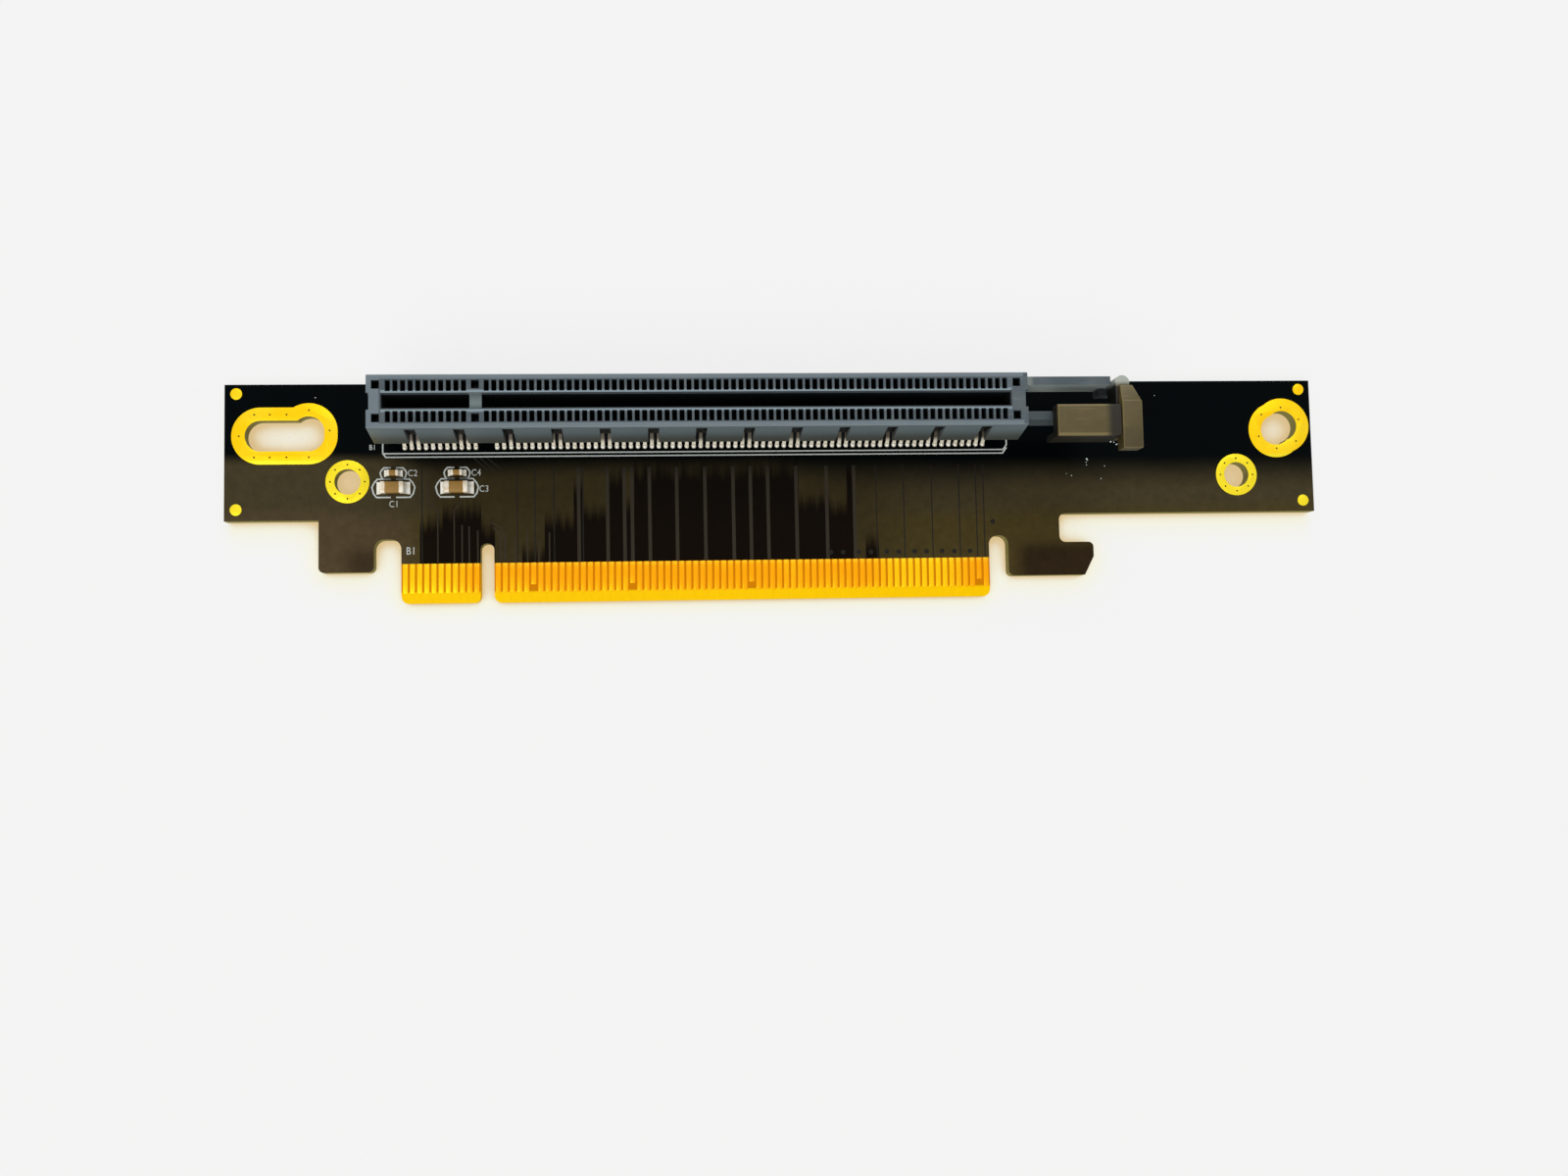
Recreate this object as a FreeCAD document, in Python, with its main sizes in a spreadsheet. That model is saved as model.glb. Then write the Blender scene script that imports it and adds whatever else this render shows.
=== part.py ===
import FreeCAD, Part
import Sketcher
import math
import os
import re

# PCIe x16 riser card, lying on its back with the slot facing up.
# Frame: +X along the card, +Y from the edge fingers towards the slot, +Z out of the slot.
# The origin is under the middle of the board, on the plane that the card rests on.

doc = FreeCAD.newDocument("pcie_riser_card")
sheet = doc.addObject("Spreadsheet::Sheet", "Sizes")

# Driving sizes in millimetres. Counts and angles are plain numbers.
sizes = {
    # board
    "board_length": 157.4,
    "board_height": 31.3,
    "board_thickness": 1.53,
    "copper": 0.04,
    "wing_height": 19.42,
    "contact_offset": 25.14,
    "tab_corner": 0.75,
    "left_tab_length": 7.69,
    "left_tab_drop": 26.83,
    "left_notch_width": 3.83,
    "left_notch_top": 22.22,
    "left_notch_corner": 1.4,
    "tongue_margin": 0.55,
    "tongue_corner": 0.9,
    "right_notch_width": 2.85,
    "right_notch_top": 22.54,
    "right_notch_corner": 1.3,
    "right_tab_length": 11.2,
    "right_tab_drop": 28.4,
    "hook_length": 12.57,
    "hook_top": 23.61,
    "hook_lean": 2.69,
    "hook_throat": 4.97,
    "hook_corner": 0.9,
    # edge fingers
    "contact_spacing": 1.0,
    "key_gap": 3.0,
    "contacts_before_key": 11,
    "contacts_after_key": 71,
    "finger_width": 0.7,
    "finger_zone": 5.58,
    "bevel_width": 1.4,
    "bevel_depth": 0.5,
    "presence_shortening": 1.1,
    "key_notch_width": 1.95,
    "key_notch_height": 8.36,
    "key_notch_corner": 0.9,
    # slot housing
    "slot_setback": 5.23,
    "housing_length": 89.0,
    "housing_lead": 2.83,
    "housing_height": 11.25,
    "housing_half_width": 3.62,
    "rim_chamfer": 0.18,
    "skirt_half_width": 4.65,
    "skirt_height": 6.6,
    "skirt_lip": 0.4,
    "core_half_width": 3.35,
    "slot_half_width": 0.94,
    "slot_lead": 0.87,
    "slot_depth": 8.9,
    "key_rib_width": 1.6,
    "key_rib_drop": 0.6,
    "cavity_width": 0.68,
    "cavity_inner": 1.33,
    "cavity_outer": 2.83,
    "cavity_depth": 5.0,
    "blind_pocket_width": 1.06,
    "blind_pocket_inner": 1.67,
    "blind_pocket_depth": 2.5,
    "end_pocket_offset": 1.62,
    "end_groove_depth": 0.33,
    "end_groove_half_width": 1.15,
    "window_count": 13,
    "window_spacing": 6.5,
    "window_width": 1.47,
    "window_top": 10.6,
    # solder tails
    "tail_width": 0.5,
    "tail_thickness": 0.2,
    "tail_foot": 1.0,
    # retention arms and latch
    "arm_length": 11.5,
    "arm_half_gap": 1.81,
    "arm_thickness": 1.15,
    "arm_height": 3.8,
    "arm_root": 1.0,
    "pivot_inset": 0.55,
    "pin_radius": 0.55,
    "knuckle_radius": 1.0,
    "eye_height": 1.9,
    "knuckle_height": 2.7,
    "pin_play": 0.05,
    "latch_play": 0.2,
    "plate_thickness": 1.1,
    "plate_height": 2.9,
    "block_length": 8.65,
    "block_inner": 1.33,
    "block_width": 4.3,
    "block_height": 2.15,
    "block_chamfer": 0.3,
    "latch_skirt_thickness": 0.9,
    "latch_skirt_drop": 2.8,
    "paddle_thickness": 2.7,
    "paddle_width": 8.7,
    "paddle_chamfer": 1.0,
    "paddle_slope": 2.4,
    "paddle_drop": 0.6,
    "paddle_overhang": 1.75,
    "paddle_overlap": 0.7,
    # mounting holes
    "small_hole_radius": 1.82,
    "small_ring_radius": 3.07,
    "left_hole_setback": 17.1,
    "right_hole_setback": 11.53,
    "small_hole_drop": 13.94,
    "large_hole_radius": 2.2,
    "large_ring_radius": 4.07,
    "keyhole_setback": 5.02,
    "keyhole_drop": 7.35,
    "keyhole_travel": 6.66,
    "keyhole_rise": 0.6,
    "double_setback": 5.32,
    "double_shift": 0.96,
    # fiducials
    "fiducial_radius": 0.82,
    "fiducial_sides": 12,
    "fiducial_inset": 1.62,
    "fiducial_top": 1.32,
    "fiducial_bottom": 1.6,
    # capacitors
    "large_cap_length": 3.2,
    "large_cap_width": 1.6,
    "large_cap_height": 1.2,
    "small_cap_length": 1.6,
    "small_cap_width": 0.8,
    "small_cap_height": 0.8,
    "cap_wrap": 0.03,
    "large_cap_end": 0.62,
    "small_cap_end": 0.36,
    "large_fillet": 0.75,
    "small_fillet": 0.5,
    "fillet_rise": 0.7,
    "left_pair_offset": 1.63,
    "right_pair_offset": 7.3,
    "large_cap_drop": 14.92,
    "small_cap_drop": 12.81,
    # construction allowance of every cutting tool
    "cutter_margin": 1.0,
}

for row, (alias, number) in enumerate(sizes.items(), start=1):
    sheet.set(f"A{row}", alias)
    sheet.set(f"B{row}", str(number))
    sheet.setAlias(f"B{row}", alias)
doc.recompute()

# Datums that several pieces share, as expressions of the sheet.
left = "(-board_length / 2)"
right = "(board_length / 2)"
top = "(board_height / 2)"
bottom = "(-board_height / 2)"
board_face = "board_thickness"
contact_one = f"({left} + contact_offset)"
contacts_end = f"({contact_one} + (contacts_before_key + contacts_after_key - 2) * contact_spacing + key_gap)"
key_centre = f"({contact_one} + (contacts_before_key - 1) * contact_spacing + key_gap / 2)"
finger_top = f"({bottom} + finger_zone)"
bevel_top = f"({bottom} + bevel_width)"
wing_bottom = f"({top} - wing_height)"
slot_centre = f"({top} - slot_setback)"
housing_left = f"({contact_one} - housing_lead)"
housing_right = f"({housing_left} + housing_length)"
housing_top = f"({board_face} + housing_height)"
arm_end = f"({housing_right} + arm_length)"
arm_bottom = f"({housing_top} - arm_height)"
pivot_x = f"({arm_end} + knuckle_radius + latch_play)"
pivot_y = f"({slot_centre} + arm_half_gap + arm_thickness / 2 - pivot_inset)"


def spell(text):
    """Turn a plain formula into a FreeCAD expression that reads the sheet."""
    return re.sub(r"[a-z]+(?:_[a-z]+)*", lambda word: f"Sizes.{word[0]}" if word[0] in sizes else word[0], str(text))


def number(text):
    return float(sheet.evalExpression(spell(text)))


def bind(item, **formulas):
    for name, formula in formulas.items():
        item.setExpression(name, spell(formula))


def place(item, at):
    for axis, formula in zip("xyz", at):
        item.setExpression(f"Placement.Base.{axis}", spell(formula))


def box(name, at, size):
    item = doc.addObject("Part::Box", name)
    bind(item, Length=size[0], Width=size[1], Height=size[2])
    place(item, at)
    return item


def drum(name, at, radius, height):
    item = doc.addObject("Part::Cylinder", name)
    bind(item, Radius=radius, Height=height)
    place(item, at)
    return item


def fuse(name, *items):
    item = doc.addObject("Part::MultiFuse", name)
    item.Shapes = list(items)
    item.Refine = True
    return item


def cut(name, base, tool):
    item = doc.addObject("Part::Cut", name)
    item.Base = base
    item.Tool = tool
    item.Refine = True
    return item


def copies(name, shapes):
    """Separate solids, repeated by the contact rows, as one object."""
    item = doc.addObject("Part::Feature", name)
    item.Shape = Part.makeCompound(shapes)
    return item


def polygon_body(name, plane, points, length, at):
    """A padded body whose sketch corners are all driven by the sheet."""
    body = doc.addObject("PartDesign::Body", name)
    sketch = body.newObject("Sketcher::SketchObject", f"{name}_outline")
    origin_plane = next(f for f in body.Origin.OriginFeatures if f.Role == plane)
    sketch.AttachmentSupport = [(origin_plane, "")]
    sketch.MapMode = "FlatFace"
    corners = [FreeCAD.Vector(number(x), number(y), 0) for x, y in points]
    count = len(corners)
    for index in range(count):
        sketch.addGeometry(Part.LineSegment(corners[index], corners[(index + 1) % count]), False)
    for index in range(count):
        sketch.addConstraint(Sketcher.Constraint("Coincident", index, 2, (index + 1) % count, 1))
    for index, (x, y) in enumerate(points):
        for kind, formula, value in (("DistanceX", x, corners[index].x), ("DistanceY", y, corners[index].y)):
            row = sketch.addConstraint(Sketcher.Constraint(kind, -1, 1, index, 1, value))
            sketch.setExpression(f"Constraints[{row}]", spell(formula))
    pad = body.newObject("PartDesign::Pad", f"{name}_pad")
    pad.Profile = sketch
    bind(pad, Length=length)
    place(body, at)
    doc.recompute()
    return body


def round_corners(body, name, radius, points):
    """Round the upright edges of a body that stand at the given plan points."""
    base = body.Tip
    marks = [FreeCAD.Vector(number(x), number(y), 0) for x, y in points]
    edges = []
    for index, edge in enumerate(base.Shape.Edges, start=1):
        ends = [vertex.Point for vertex in edge.Vertexes]
        upright = len(ends) == 2 and math.hypot(ends[0].x - ends[1].x, ends[0].y - ends[1].y) < 0.001
        if upright and any(math.hypot(ends[0].x - m.x, ends[0].y - m.y) < 0.001 for m in marks):
            edges.append(f"Edge{index}")
    if len(edges) != len(marks):
        raise RuntimeError(f"{name}: {len(edges)} corners found of {len(marks)}")
    fillet = body.newObject("PartDesign::Fillet", name)
    fillet.Base = (base, edges)
    bind(fillet, Radius=radius)
    doc.recompute()


def contact_places():
    """X of each contact centre, with the key gap after the first group."""
    before = int(number("contacts_before_key"))
    after = int(number("contacts_after_key"))
    start = number(contact_one)
    step = number("contact_spacing")
    first = [start + step * index for index in range(before)]
    second_start = first[-1] + number("key_gap")
    return first + [second_start + step * index for index in range(after)]


# Circuit board: two wings, a keyed edge tongue between two notches, and a hook for a latch.
tongue_left = f"({contact_one} - tongue_margin)"
tongue_right = f"({contacts_end} + tongue_margin)"
left_notch_left = f"({tongue_left} - left_notch_width)"
left_tab_left = f"({left_notch_left} - left_tab_length)"
left_notch_top = f"({top} - left_notch_top)"
left_tab_bottom = f"({top} - left_tab_drop)"
key_left = f"({key_centre} - key_notch_width / 2)"
key_right = f"({key_centre} + key_notch_width / 2)"
key_top = f"({bottom} + key_notch_height)"
right_tab_left = f"({tongue_right} + right_notch_width)"
right_notch_top = f"({top} - right_notch_top)"
right_tab_bottom = f"({top} - right_tab_drop)"
hook_right = f"({right_tab_left} + hook_length)"
hook_top = f"({top} - hook_top)"
throat_left = f"({hook_right} - hook_throat)"

outline = [
    (left, top),
    (left, wing_bottom),
    (left_tab_left, wing_bottom),
    (left_tab_left, left_tab_bottom),
    (left_notch_left, left_tab_bottom),
    (left_notch_left, left_notch_top),
    (tongue_left, left_notch_top),
    (tongue_left, bottom),
    (key_left, bottom),
    (key_left, key_top),
    (key_right, key_top),
    (key_right, bottom),
    (tongue_right, bottom),
    (tongue_right, right_notch_top),
    (right_tab_left, right_notch_top),
    (right_tab_left, right_tab_bottom),
    (f"{right_tab_left} + right_tab_length", right_tab_bottom),
    (hook_right, f"{right_tab_bottom} + hook_lean"),
    (hook_right, hook_top),
    (throat_left, hook_top),
    (throat_left, wing_bottom),
    (right, wing_bottom),
    (right, top),
]
board_blank = polygon_body("board_blank", "XY_Plane", outline, "board_thickness", (0, 0, 0))
round_corners(board_blank, "tab_corners", "tab_corner", [
    (left_tab_left, left_tab_bottom),
    (left_notch_left, left_tab_bottom),
    (right_tab_left, right_tab_bottom),
    (hook_right, hook_top),
])
round_corners(board_blank, "left_notch_corners", "left_notch_corner", [
    (left_notch_left, left_notch_top),
    (tongue_left, left_notch_top),
])
round_corners(board_blank, "right_notch_corners", "right_notch_corner", [
    (tongue_right, right_notch_top),
    (right_tab_left, right_notch_top),
])
round_corners(board_blank, "key_corners", "key_notch_corner", [(key_left, key_top), (key_right, key_top)])
round_corners(board_blank, "hook_corners", "hook_corner", [(throat_left, hook_top), (throat_left, wing_bottom)])
round_corners(board_blank, "tongue_corners", "tongue_corner", [
    (tongue_left, bottom),
    (key_left, bottom),
    (key_right, bottom),
    (tongue_right, bottom),
])


def slope(name, ends, foot, crest):
    """Prism along X: a foot segment in Z at its low Y, and a crest segment in Z at its high Y."""
    prism = doc.addObject("Part::Wedge", name)
    bind(prism, Xmin=ends[0], Xmax=ends[1], X2min=ends[0], X2max=ends[1])
    bind(prism, Ymin=foot[0], Zmin=foot[1], Zmax=foot[2])
    bind(prism, Ymax=crest[0], Z2min=crest[1], Z2max=crest[2])
    return prism


tongue_ends = (f"{tongue_left} - cutter_margin", f"{tongue_right} + cutter_margin")
front_bevel = slope(
    "front_bevel",
    tongue_ends,
    (bottom, f"{board_face} - bevel_depth", f"{board_face} + cutter_margin"),
    (bevel_top, board_face, f"{board_face} + cutter_margin"),
)
back_bevel = slope(
    "back_bevel",
    tongue_ends,
    (bottom, "-cutter_margin", "bevel_depth"),
    (bevel_top, "-cutter_margin", "0"),
)
# The mask stops short of the fingers, and on the back they lie level with it.
back_recess = box(
    "back_recess",
    (tongue_ends[0], f"{bottom} - cutter_margin", "-cutter_margin"),
    (f"{tongue_ends[1]} - ({tongue_ends[0]})", "finger_zone + cutter_margin", "copper + cutter_margin"),
)

# Mounting holes: a keyhole and a round hole on the left, a round hole and a double hole on the right.
small_y = f"({top} - small_hole_drop)"
left_hole_x = f"({left} + left_hole_setback)"
right_hole_x = f"({right} - right_hole_setback)"
large_y = f"({top} - keyhole_drop)"
keyhole_x = f"({left} + keyhole_setback)"
double_x = f"({right} - double_setback)"


def round_shape(x):
    def shape(name, radius, base, height):
        return drum(name, (x, small_y, base), radius, height)
    return shape


def keyhole_shape(name, radius, base, height):
    """A slot whose right end is widened by a circle set a little higher."""
    slot_end = f"{keyhole_x} + keyhole_travel"
    return fuse(
        name,
        drum(f"{name}_left", (keyhole_x, large_y, base), radius, height),
        box(f"{name}_middle", (keyhole_x, f"{large_y} - ({radius})", base), ("keyhole_travel", f"2 * ({radius})", height)),
        drum(f"{name}_right", (slot_end, large_y, base), radius, height),
        drum(f"{name}_head", (slot_end, f"{large_y} + keyhole_rise", base), radius, height),
    )


def double_shape(name, radius, base, height):
    """Two round holes that run into each other."""
    return fuse(
        name,
        drum(f"{name}_low", (double_x, large_y, base), radius, height),
        drum(f"{name}_high", (f"{double_x} + double_shift", f"{large_y} + keyhole_rise", base), radius, height),
    )


holes = {
    "keyhole_ring": (keyhole_shape, "large_hole_radius", "large_ring_radius"),
    "left_hole_ring": (round_shape(left_hole_x), "small_hole_radius", "small_ring_radius"),
    "right_hole_ring": (round_shape(right_hole_x), "small_hole_radius", "small_ring_radius"),
    "double_hole_ring": (double_shape, "large_hole_radius", "large_ring_radius"),
}
pieces = {}
through = ("-cutter_margin", "board_thickness + 2 * cutter_margin")
bores = []
for ring, (shape, hole_radius, ring_radius) in holes.items():
    bore = shape(f"{ring}_bore", hole_radius, *through)
    pieces[ring] = cut(ring, shape(f"{ring}_land", ring_radius, board_face, "copper"), bore)
    bores.append(bore)

board_cutters = fuse("board_cutters", front_bevel, back_bevel, back_recess, *bores)
pieces["circuit_board"] = cut("circuit_board", board_blank, board_cutters)

# Edge fingers: the presence contacts stop short of the others.
presence_front = (16, 30, 47, 80)
presence_back = (0,)


def finger_row(name, base, presence):
    width, copper = number("finger_width"), number("copper")
    low, high = number(bevel_top), number(finger_top)
    short_low = low + number("presence_shortening")
    fingers = []
    for index, x in enumerate(contact_places()):
        start = short_low if index in presence else low
        corner = FreeCAD.Vector(x - width / 2, start, number(base))
        fingers.append(Part.makeBox(width, high - start, copper, corner))
    return copies(name, fingers)


pieces["edge_fingers_front"] = finger_row("edge_fingers_front", board_face, presence_front)
pieces["edge_fingers_back"] = finger_row("edge_fingers_back", "0", presence_back)

# Fiducials: small copper targets near the four corners of the face, drawn with a few sides each.
fiducial_places = [
    (x, y)
    for x in (f"{left} + fiducial_inset", f"{right} - fiducial_inset")
    for y in (f"{top} - fiducial_top", f"{wing_bottom} + fiducial_bottom")
]
targets = []
for index, (x, y) in enumerate(fiducial_places, start=1):
    target = doc.addObject("Part::Prism", f"fiducial_{index}")
    bind(target, Polygon="fiducial_sides", Circumradius="fiducial_radius", Height="copper")
    place(target, (x, y, board_face))
    targets.append(target)
fiducials = doc.addObject("Part::Compound", "fiducial_pads")
fiducials.Links = targets
pieces["fiducial_pads"] = fiducials


# Slot housing: a moulded bar with a skirt on each side, stood on a narrower core.
skirt_bottom = f"({board_face} + skirt_height - skirt_lip)"
rim_bottom = f"({housing_top} - rim_chamfer)"
half_section = [
    ("core_half_width", board_face),
    ("core_half_width", skirt_bottom),
    ("skirt_half_width", skirt_bottom),
    ("skirt_half_width", f"{board_face} + skirt_height"),
    ("housing_half_width", rim_bottom),
    ("housing_half_width - rim_chamfer", housing_top),
]
section = [(f"{slot_centre} + {y}", z) for y, z in half_section]
section += [(f"{slot_centre} - ({y})", z) for y, z in reversed(half_section)]
housing_bar = polygon_body("housing_bar", "YZ_Plane", section, "housing_length", (housing_left, 0, 0))

slot_left = f"({contact_one} - slot_lead)"
slot_right = f"({contacts_end} + slot_lead)"


def slot_pocket(name, start, end, depth):
    size = (f"{end} - {start}", "2 * slot_half_width", f"{depth} + cutter_margin")
    return box(name, (start, f"{slot_centre} - slot_half_width", f"{housing_top} - {depth}"), size)


slot_pockets = [
    slot_pocket("slot_mouth", slot_left, slot_right, "key_rib_drop"),
    slot_pocket("slot_before_key", slot_left, f"({key_centre} - key_rib_width / 2)", "slot_depth"),
    slot_pocket("slot_after_key", f"({key_centre} + key_rib_width / 2)", slot_right, "slot_depth"),
]


def mirrored_row(name, places, width, near, far, low, high):
    """Equal boxes along X on both sides of the slot, near and far from its middle plane."""
    middle = number(slot_centre)
    boxes = []
    for x in places:
        for start in (middle + near, middle - far):
            corner = FreeCAD.Vector(x - width / 2, start, low)
            boxes.append(Part.makeBox(width, far - near, high - low, corner))
    return copies(name, boxes)


housing_rim = number(housing_top)
over_rim = housing_rim + number("cutter_margin")
contact_cavities = mirrored_row(
    "contact_cavities",
    contact_places(),
    number("cavity_width"),
    number("cavity_inner"),
    number("cavity_outer"),
    housing_rim - number("cavity_depth"),
    over_rim,
)
blind_pockets = mirrored_row(
    "blind_pockets",
    [number(f"{contact_one} - end_pocket_offset"), number(key_centre), number(f"{contacts_end} + end_pocket_offset")],
    number("blind_pocket_width"),
    number("blind_pocket_inner"),
    number("cavity_outer"),
    housing_rim - number("blind_pocket_depth"),
    over_rim,
)
housing_middle = number(f"{housing_left} + housing_length / 2")
window_count = int(number("window_count"))
window_places = [
    housing_middle + number("window_spacing") * (index - (window_count - 1) / 2) for index in range(window_count)
]
side_windows = mirrored_row(
    "side_windows",
    window_places,
    number("window_width"),
    number("core_half_width"),
    number("skirt_half_width + cutter_margin"),
    number(f"{skirt_bottom} - skirt_lip"),
    number(f"{board_face} + window_top"),
)
groove_size = ("end_groove_depth + cutter_margin", "2 * end_groove_half_width", "housing_height + cutter_margin")
groove_y = f"{slot_centre} - end_groove_half_width"
end_grooves = [
    box("left_end_groove", (f"{housing_left} - cutter_margin", groove_y, board_face), groove_size),
    box("right_end_groove", (f"{housing_right} - end_groove_depth", groove_y, board_face), groove_size),
]
housing_cutters = fuse("housing_cutters", *slot_pockets, contact_cavities, blind_pockets, side_windows, *end_grooves)
housing_shell = cut("housing_shell", housing_bar, housing_cutters)

# Two arms run on from the housing's right end, and the far one carries the latch's eye.
arm_size = ("arm_length", "arm_thickness", "arm_height")
far_arm = box("far_arm", (housing_right, f"{slot_centre} + arm_half_gap", arm_bottom), arm_size)
near_arm = box("near_arm", (housing_right, f"{slot_centre} - arm_half_gap - arm_thickness", arm_bottom), arm_size)
eye_base = arm_bottom
eye = drum("latch_eye", (pivot_x, pivot_y, eye_base), "knuckle_radius", "eye_height")
eye_web = box(
    "eye_web",
    (f"{arm_end} - arm_root", f"{pivot_y} - knuckle_radius", eye_base),
    (f"{pivot_x} - {arm_end} + arm_root", "2 * knuckle_radius", "eye_height"),
)
eye_bore = drum(
    "eye_bore",
    (pivot_x, pivot_y, f"{eye_base} - cutter_margin"),
    "pin_radius + pin_play",
    "eye_height + 2 * cutter_margin",
)
housing_solid = fuse("housing_solid", housing_shell, far_arm, near_arm, eye, eye_web)
pieces["slot_housing"] = cut("slot_housing", housing_solid, eye_bore)


# Solder tails: flat strips that leave the core under the skirt and lean out to their pads on the board.
def tail_row(name, side):
    core, foot = number("core_half_width"), number("tail_foot")
    thickness, width = number("tail_thickness"), number("tail_width")
    base, crown = number(board_face), number(skirt_bottom)
    middle = number(slot_centre)
    profile = [
        (core + foot - thickness, base),
        (core + foot, base),
        (core + thickness, crown),
        (core, crown),
    ]
    tails = []
    for x in contact_places():
        corners = [FreeCAD.Vector(x - width / 2, middle + side * y, z) for y, z in profile]
        face = Part.Face(Part.makePolygon(corners + corners[:1]))
        tails.append(face.extrude(FreeCAD.Vector(width, 0, 0)))
    return copies(name, tails)


pieces["slot_contacts_front"] = tail_row("slot_contacts_front", -1)
pieces["slot_contacts_back"] = tail_row("slot_contacts_back", 1)

# Retention latch: it turns about an upright pin in the eye, and its block closes over the near arm.
latch_base = f"({eye_base} + eye_height + latch_play)"
block_bottom = f"({housing_top} + latch_play)"
block_top = f"({block_bottom} + block_height)"
block_inner = f"({slot_centre} - block_inner)"
block_outer = f"({block_inner} - block_width)"
plate_left = f"({arm_end} + latch_play)"
plate_right = f"({plate_left} + plate_thickness)"
block_section = [
    (block_outer, f"{block_bottom} - latch_skirt_drop"),
    (f"{block_outer} + latch_skirt_thickness", f"{block_bottom} - latch_skirt_drop"),
    (f"{block_outer} + latch_skirt_thickness", block_bottom),
    (block_inner, block_bottom),
    (block_inner, f"{block_top} - block_chamfer"),
    (f"{block_inner} - block_chamfer", block_top),
    (f"{block_outer} + block_chamfer", block_top),
    (block_outer, f"{block_top} - block_chamfer"),
]
latch_block = polygon_body(
    "latch_block", "YZ_Plane", block_section, "block_length", (f"{plate_left} + latch_play - block_length", 0, 0)
)
paddle_left = f"({plate_right} - paddle_overlap)"
paddle_right = f"({paddle_left} + paddle_thickness)"
paddle_low = f"({block_outer} - paddle_overhang)"
paddle_high = f"({paddle_low} + paddle_width)"
paddle_plan = [
    (paddle_left, paddle_low),
    (paddle_right, paddle_low),
    (paddle_right, f"{paddle_high} - paddle_slope"),
    (f"{paddle_right} - paddle_chamfer", paddle_high),
    (paddle_left, paddle_high),
]
paddle_blank = polygon_body("paddle_blank", "XY_Plane", paddle_plan, "block_height", (0, 0, block_bottom))
paddle_bevel = slope(
    "paddle_bevel",
    (f"{paddle_left} - cutter_margin", f"{paddle_right} + cutter_margin"),
    (f"{paddle_high} - paddle_slope", block_top, f"{block_top} + cutter_margin"),
    (paddle_high, f"{block_top} - paddle_drop", f"{block_top} + cutter_margin"),
)
paddle = cut("paddle", paddle_blank, paddle_bevel)
plate = box(
    "latch_plate",
    (plate_left, block_outer, latch_base),
    ("plate_thickness", f"{pivot_y} - {block_outer}", "plate_height"),
)
knuckle = drum("latch_knuckle", (pivot_x, pivot_y, latch_base), "knuckle_radius", "knuckle_height")
pin = drum("latch_pin", (pivot_x, pivot_y, eye_base), "pin_radius", "eye_height + 2 * latch_play")
pieces["retention_latch"] = fuse("retention_latch", latch_block, paddle, plate, knuckle, pin)


# Chip capacitors: a ceramic bar with a metal cup on each end, soldered down by a fillet at each cup.
def capacitor(name, middle_x, middle_y, size):
    length, width, height, end = (f"{size}_cap_{word}" for word in ("length", "width", "height", "end"))
    fillet = f"{size}_fillet"
    x_low = f"({middle_x} - {length} / 2)"
    x_high = f"({middle_x} + {length} / 2)"
    y_low = f"({middle_y} - {width} / 2)"
    ceramic = box(
        f"capacitor_{name}",
        (f"{x_low} + cap_wrap", f"{y_low} + cap_wrap", f"{board_face} + cap_wrap"),
        (f"{length} - 2 * cap_wrap", f"{width} - 2 * cap_wrap", f"{height} - 2 * cap_wrap"),
    )
    ends = []
    fillets = []
    for side, start in (("left", x_low), ("right", f"{x_high} - {end}")):
        block = box(f"cup_block_{side}_{name}", (start, y_low, board_face), (end, width, height))
        ends.append(cut(f"cup_{side}_{name}", block, ceramic))
    for side, low, high, crest in (
        ("left", f"{x_low} - {fillet}", x_low, x_low),
        ("right", x_high, f"{x_high} + {fillet}", x_high),
    ):
        prism = doc.addObject("Part::Wedge", f"fillet_{side}_{name}")
        bind(prism, Xmin=low, Xmax=high, Ymin=board_face, Ymax=f"{board_face} + fillet_rise * {height}")
        bind(prism, X2min=crest, X2max=crest, Zmin=0, Zmax=width, Z2min=0, Z2max=width)
        prism.Placement.Rotation = FreeCAD.Rotation(FreeCAD.Vector(1, 0, 0), 90)
        bind(prism, **{"Placement.Base.y": f"{y_low} + {width}"})
        fillets.append(prism)
    cups = doc.addObject("Part::Compound", f"terminals_{name}")
    cups.Links = ends
    return ceramic, cups, fillets


cap_places = {
    "c1": (f"({contact_one} - left_pair_offset)", f"({top} - large_cap_drop)", "large"),
    "c2": (f"({contact_one} - left_pair_offset)", f"({top} - small_cap_drop)", "small"),
    "c3": (f"({contact_one} + right_pair_offset)", f"({top} - large_cap_drop)", "large"),
    "c4": (f"({contact_one} + right_pair_offset)", f"({top} - small_cap_drop)", "small"),
}
solder = []
for name, (middle_x, middle_y, size) in cap_places.items():
    ceramic, cups, fillets = capacitor(name, middle_x, middle_y, size)
    pieces[f"capacitor_{name}"] = ceramic
    pieces[f"terminals_{name}"] = cups
    solder += fillets
capacitor_solder = doc.addObject("Part::Compound", "capacitor_solder")
capacitor_solder.Links = solder
pieces["capacitor_solder"] = capacitor_solder

doc.recompute()

for item in doc.Objects:
    if "Invalid" in item.State or "Error" in item.State:
        raise RuntimeError(f"{item.Name} failed: {item.State}")

os.makedirs("parts", exist_ok=True)
for name, piece in pieces.items():
    piece.Label = name
    if piece.Shape.isNull() or not piece.Shape.isValid():
        raise RuntimeError(f"{name} has no valid shape")
    piece.Shape.exportStep(os.path.join("parts", f"{name}.step"))
    extent = piece.Shape.BoundBox
    print(
        f"{name}: {len(piece.Shape.Solids)} solids, {piece.Shape.Volume:.2f} mm3, "
        f"x {extent.XMin:.2f}..{extent.XMax:.2f} y {extent.YMin:.2f}..{extent.YMax:.2f} "
        f"z {extent.ZMin:.2f}..{extent.ZMax:.2f}"
    )
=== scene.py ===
import math
import random

import bmesh
import bpy
from mathutils import Matrix, Vector


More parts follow.
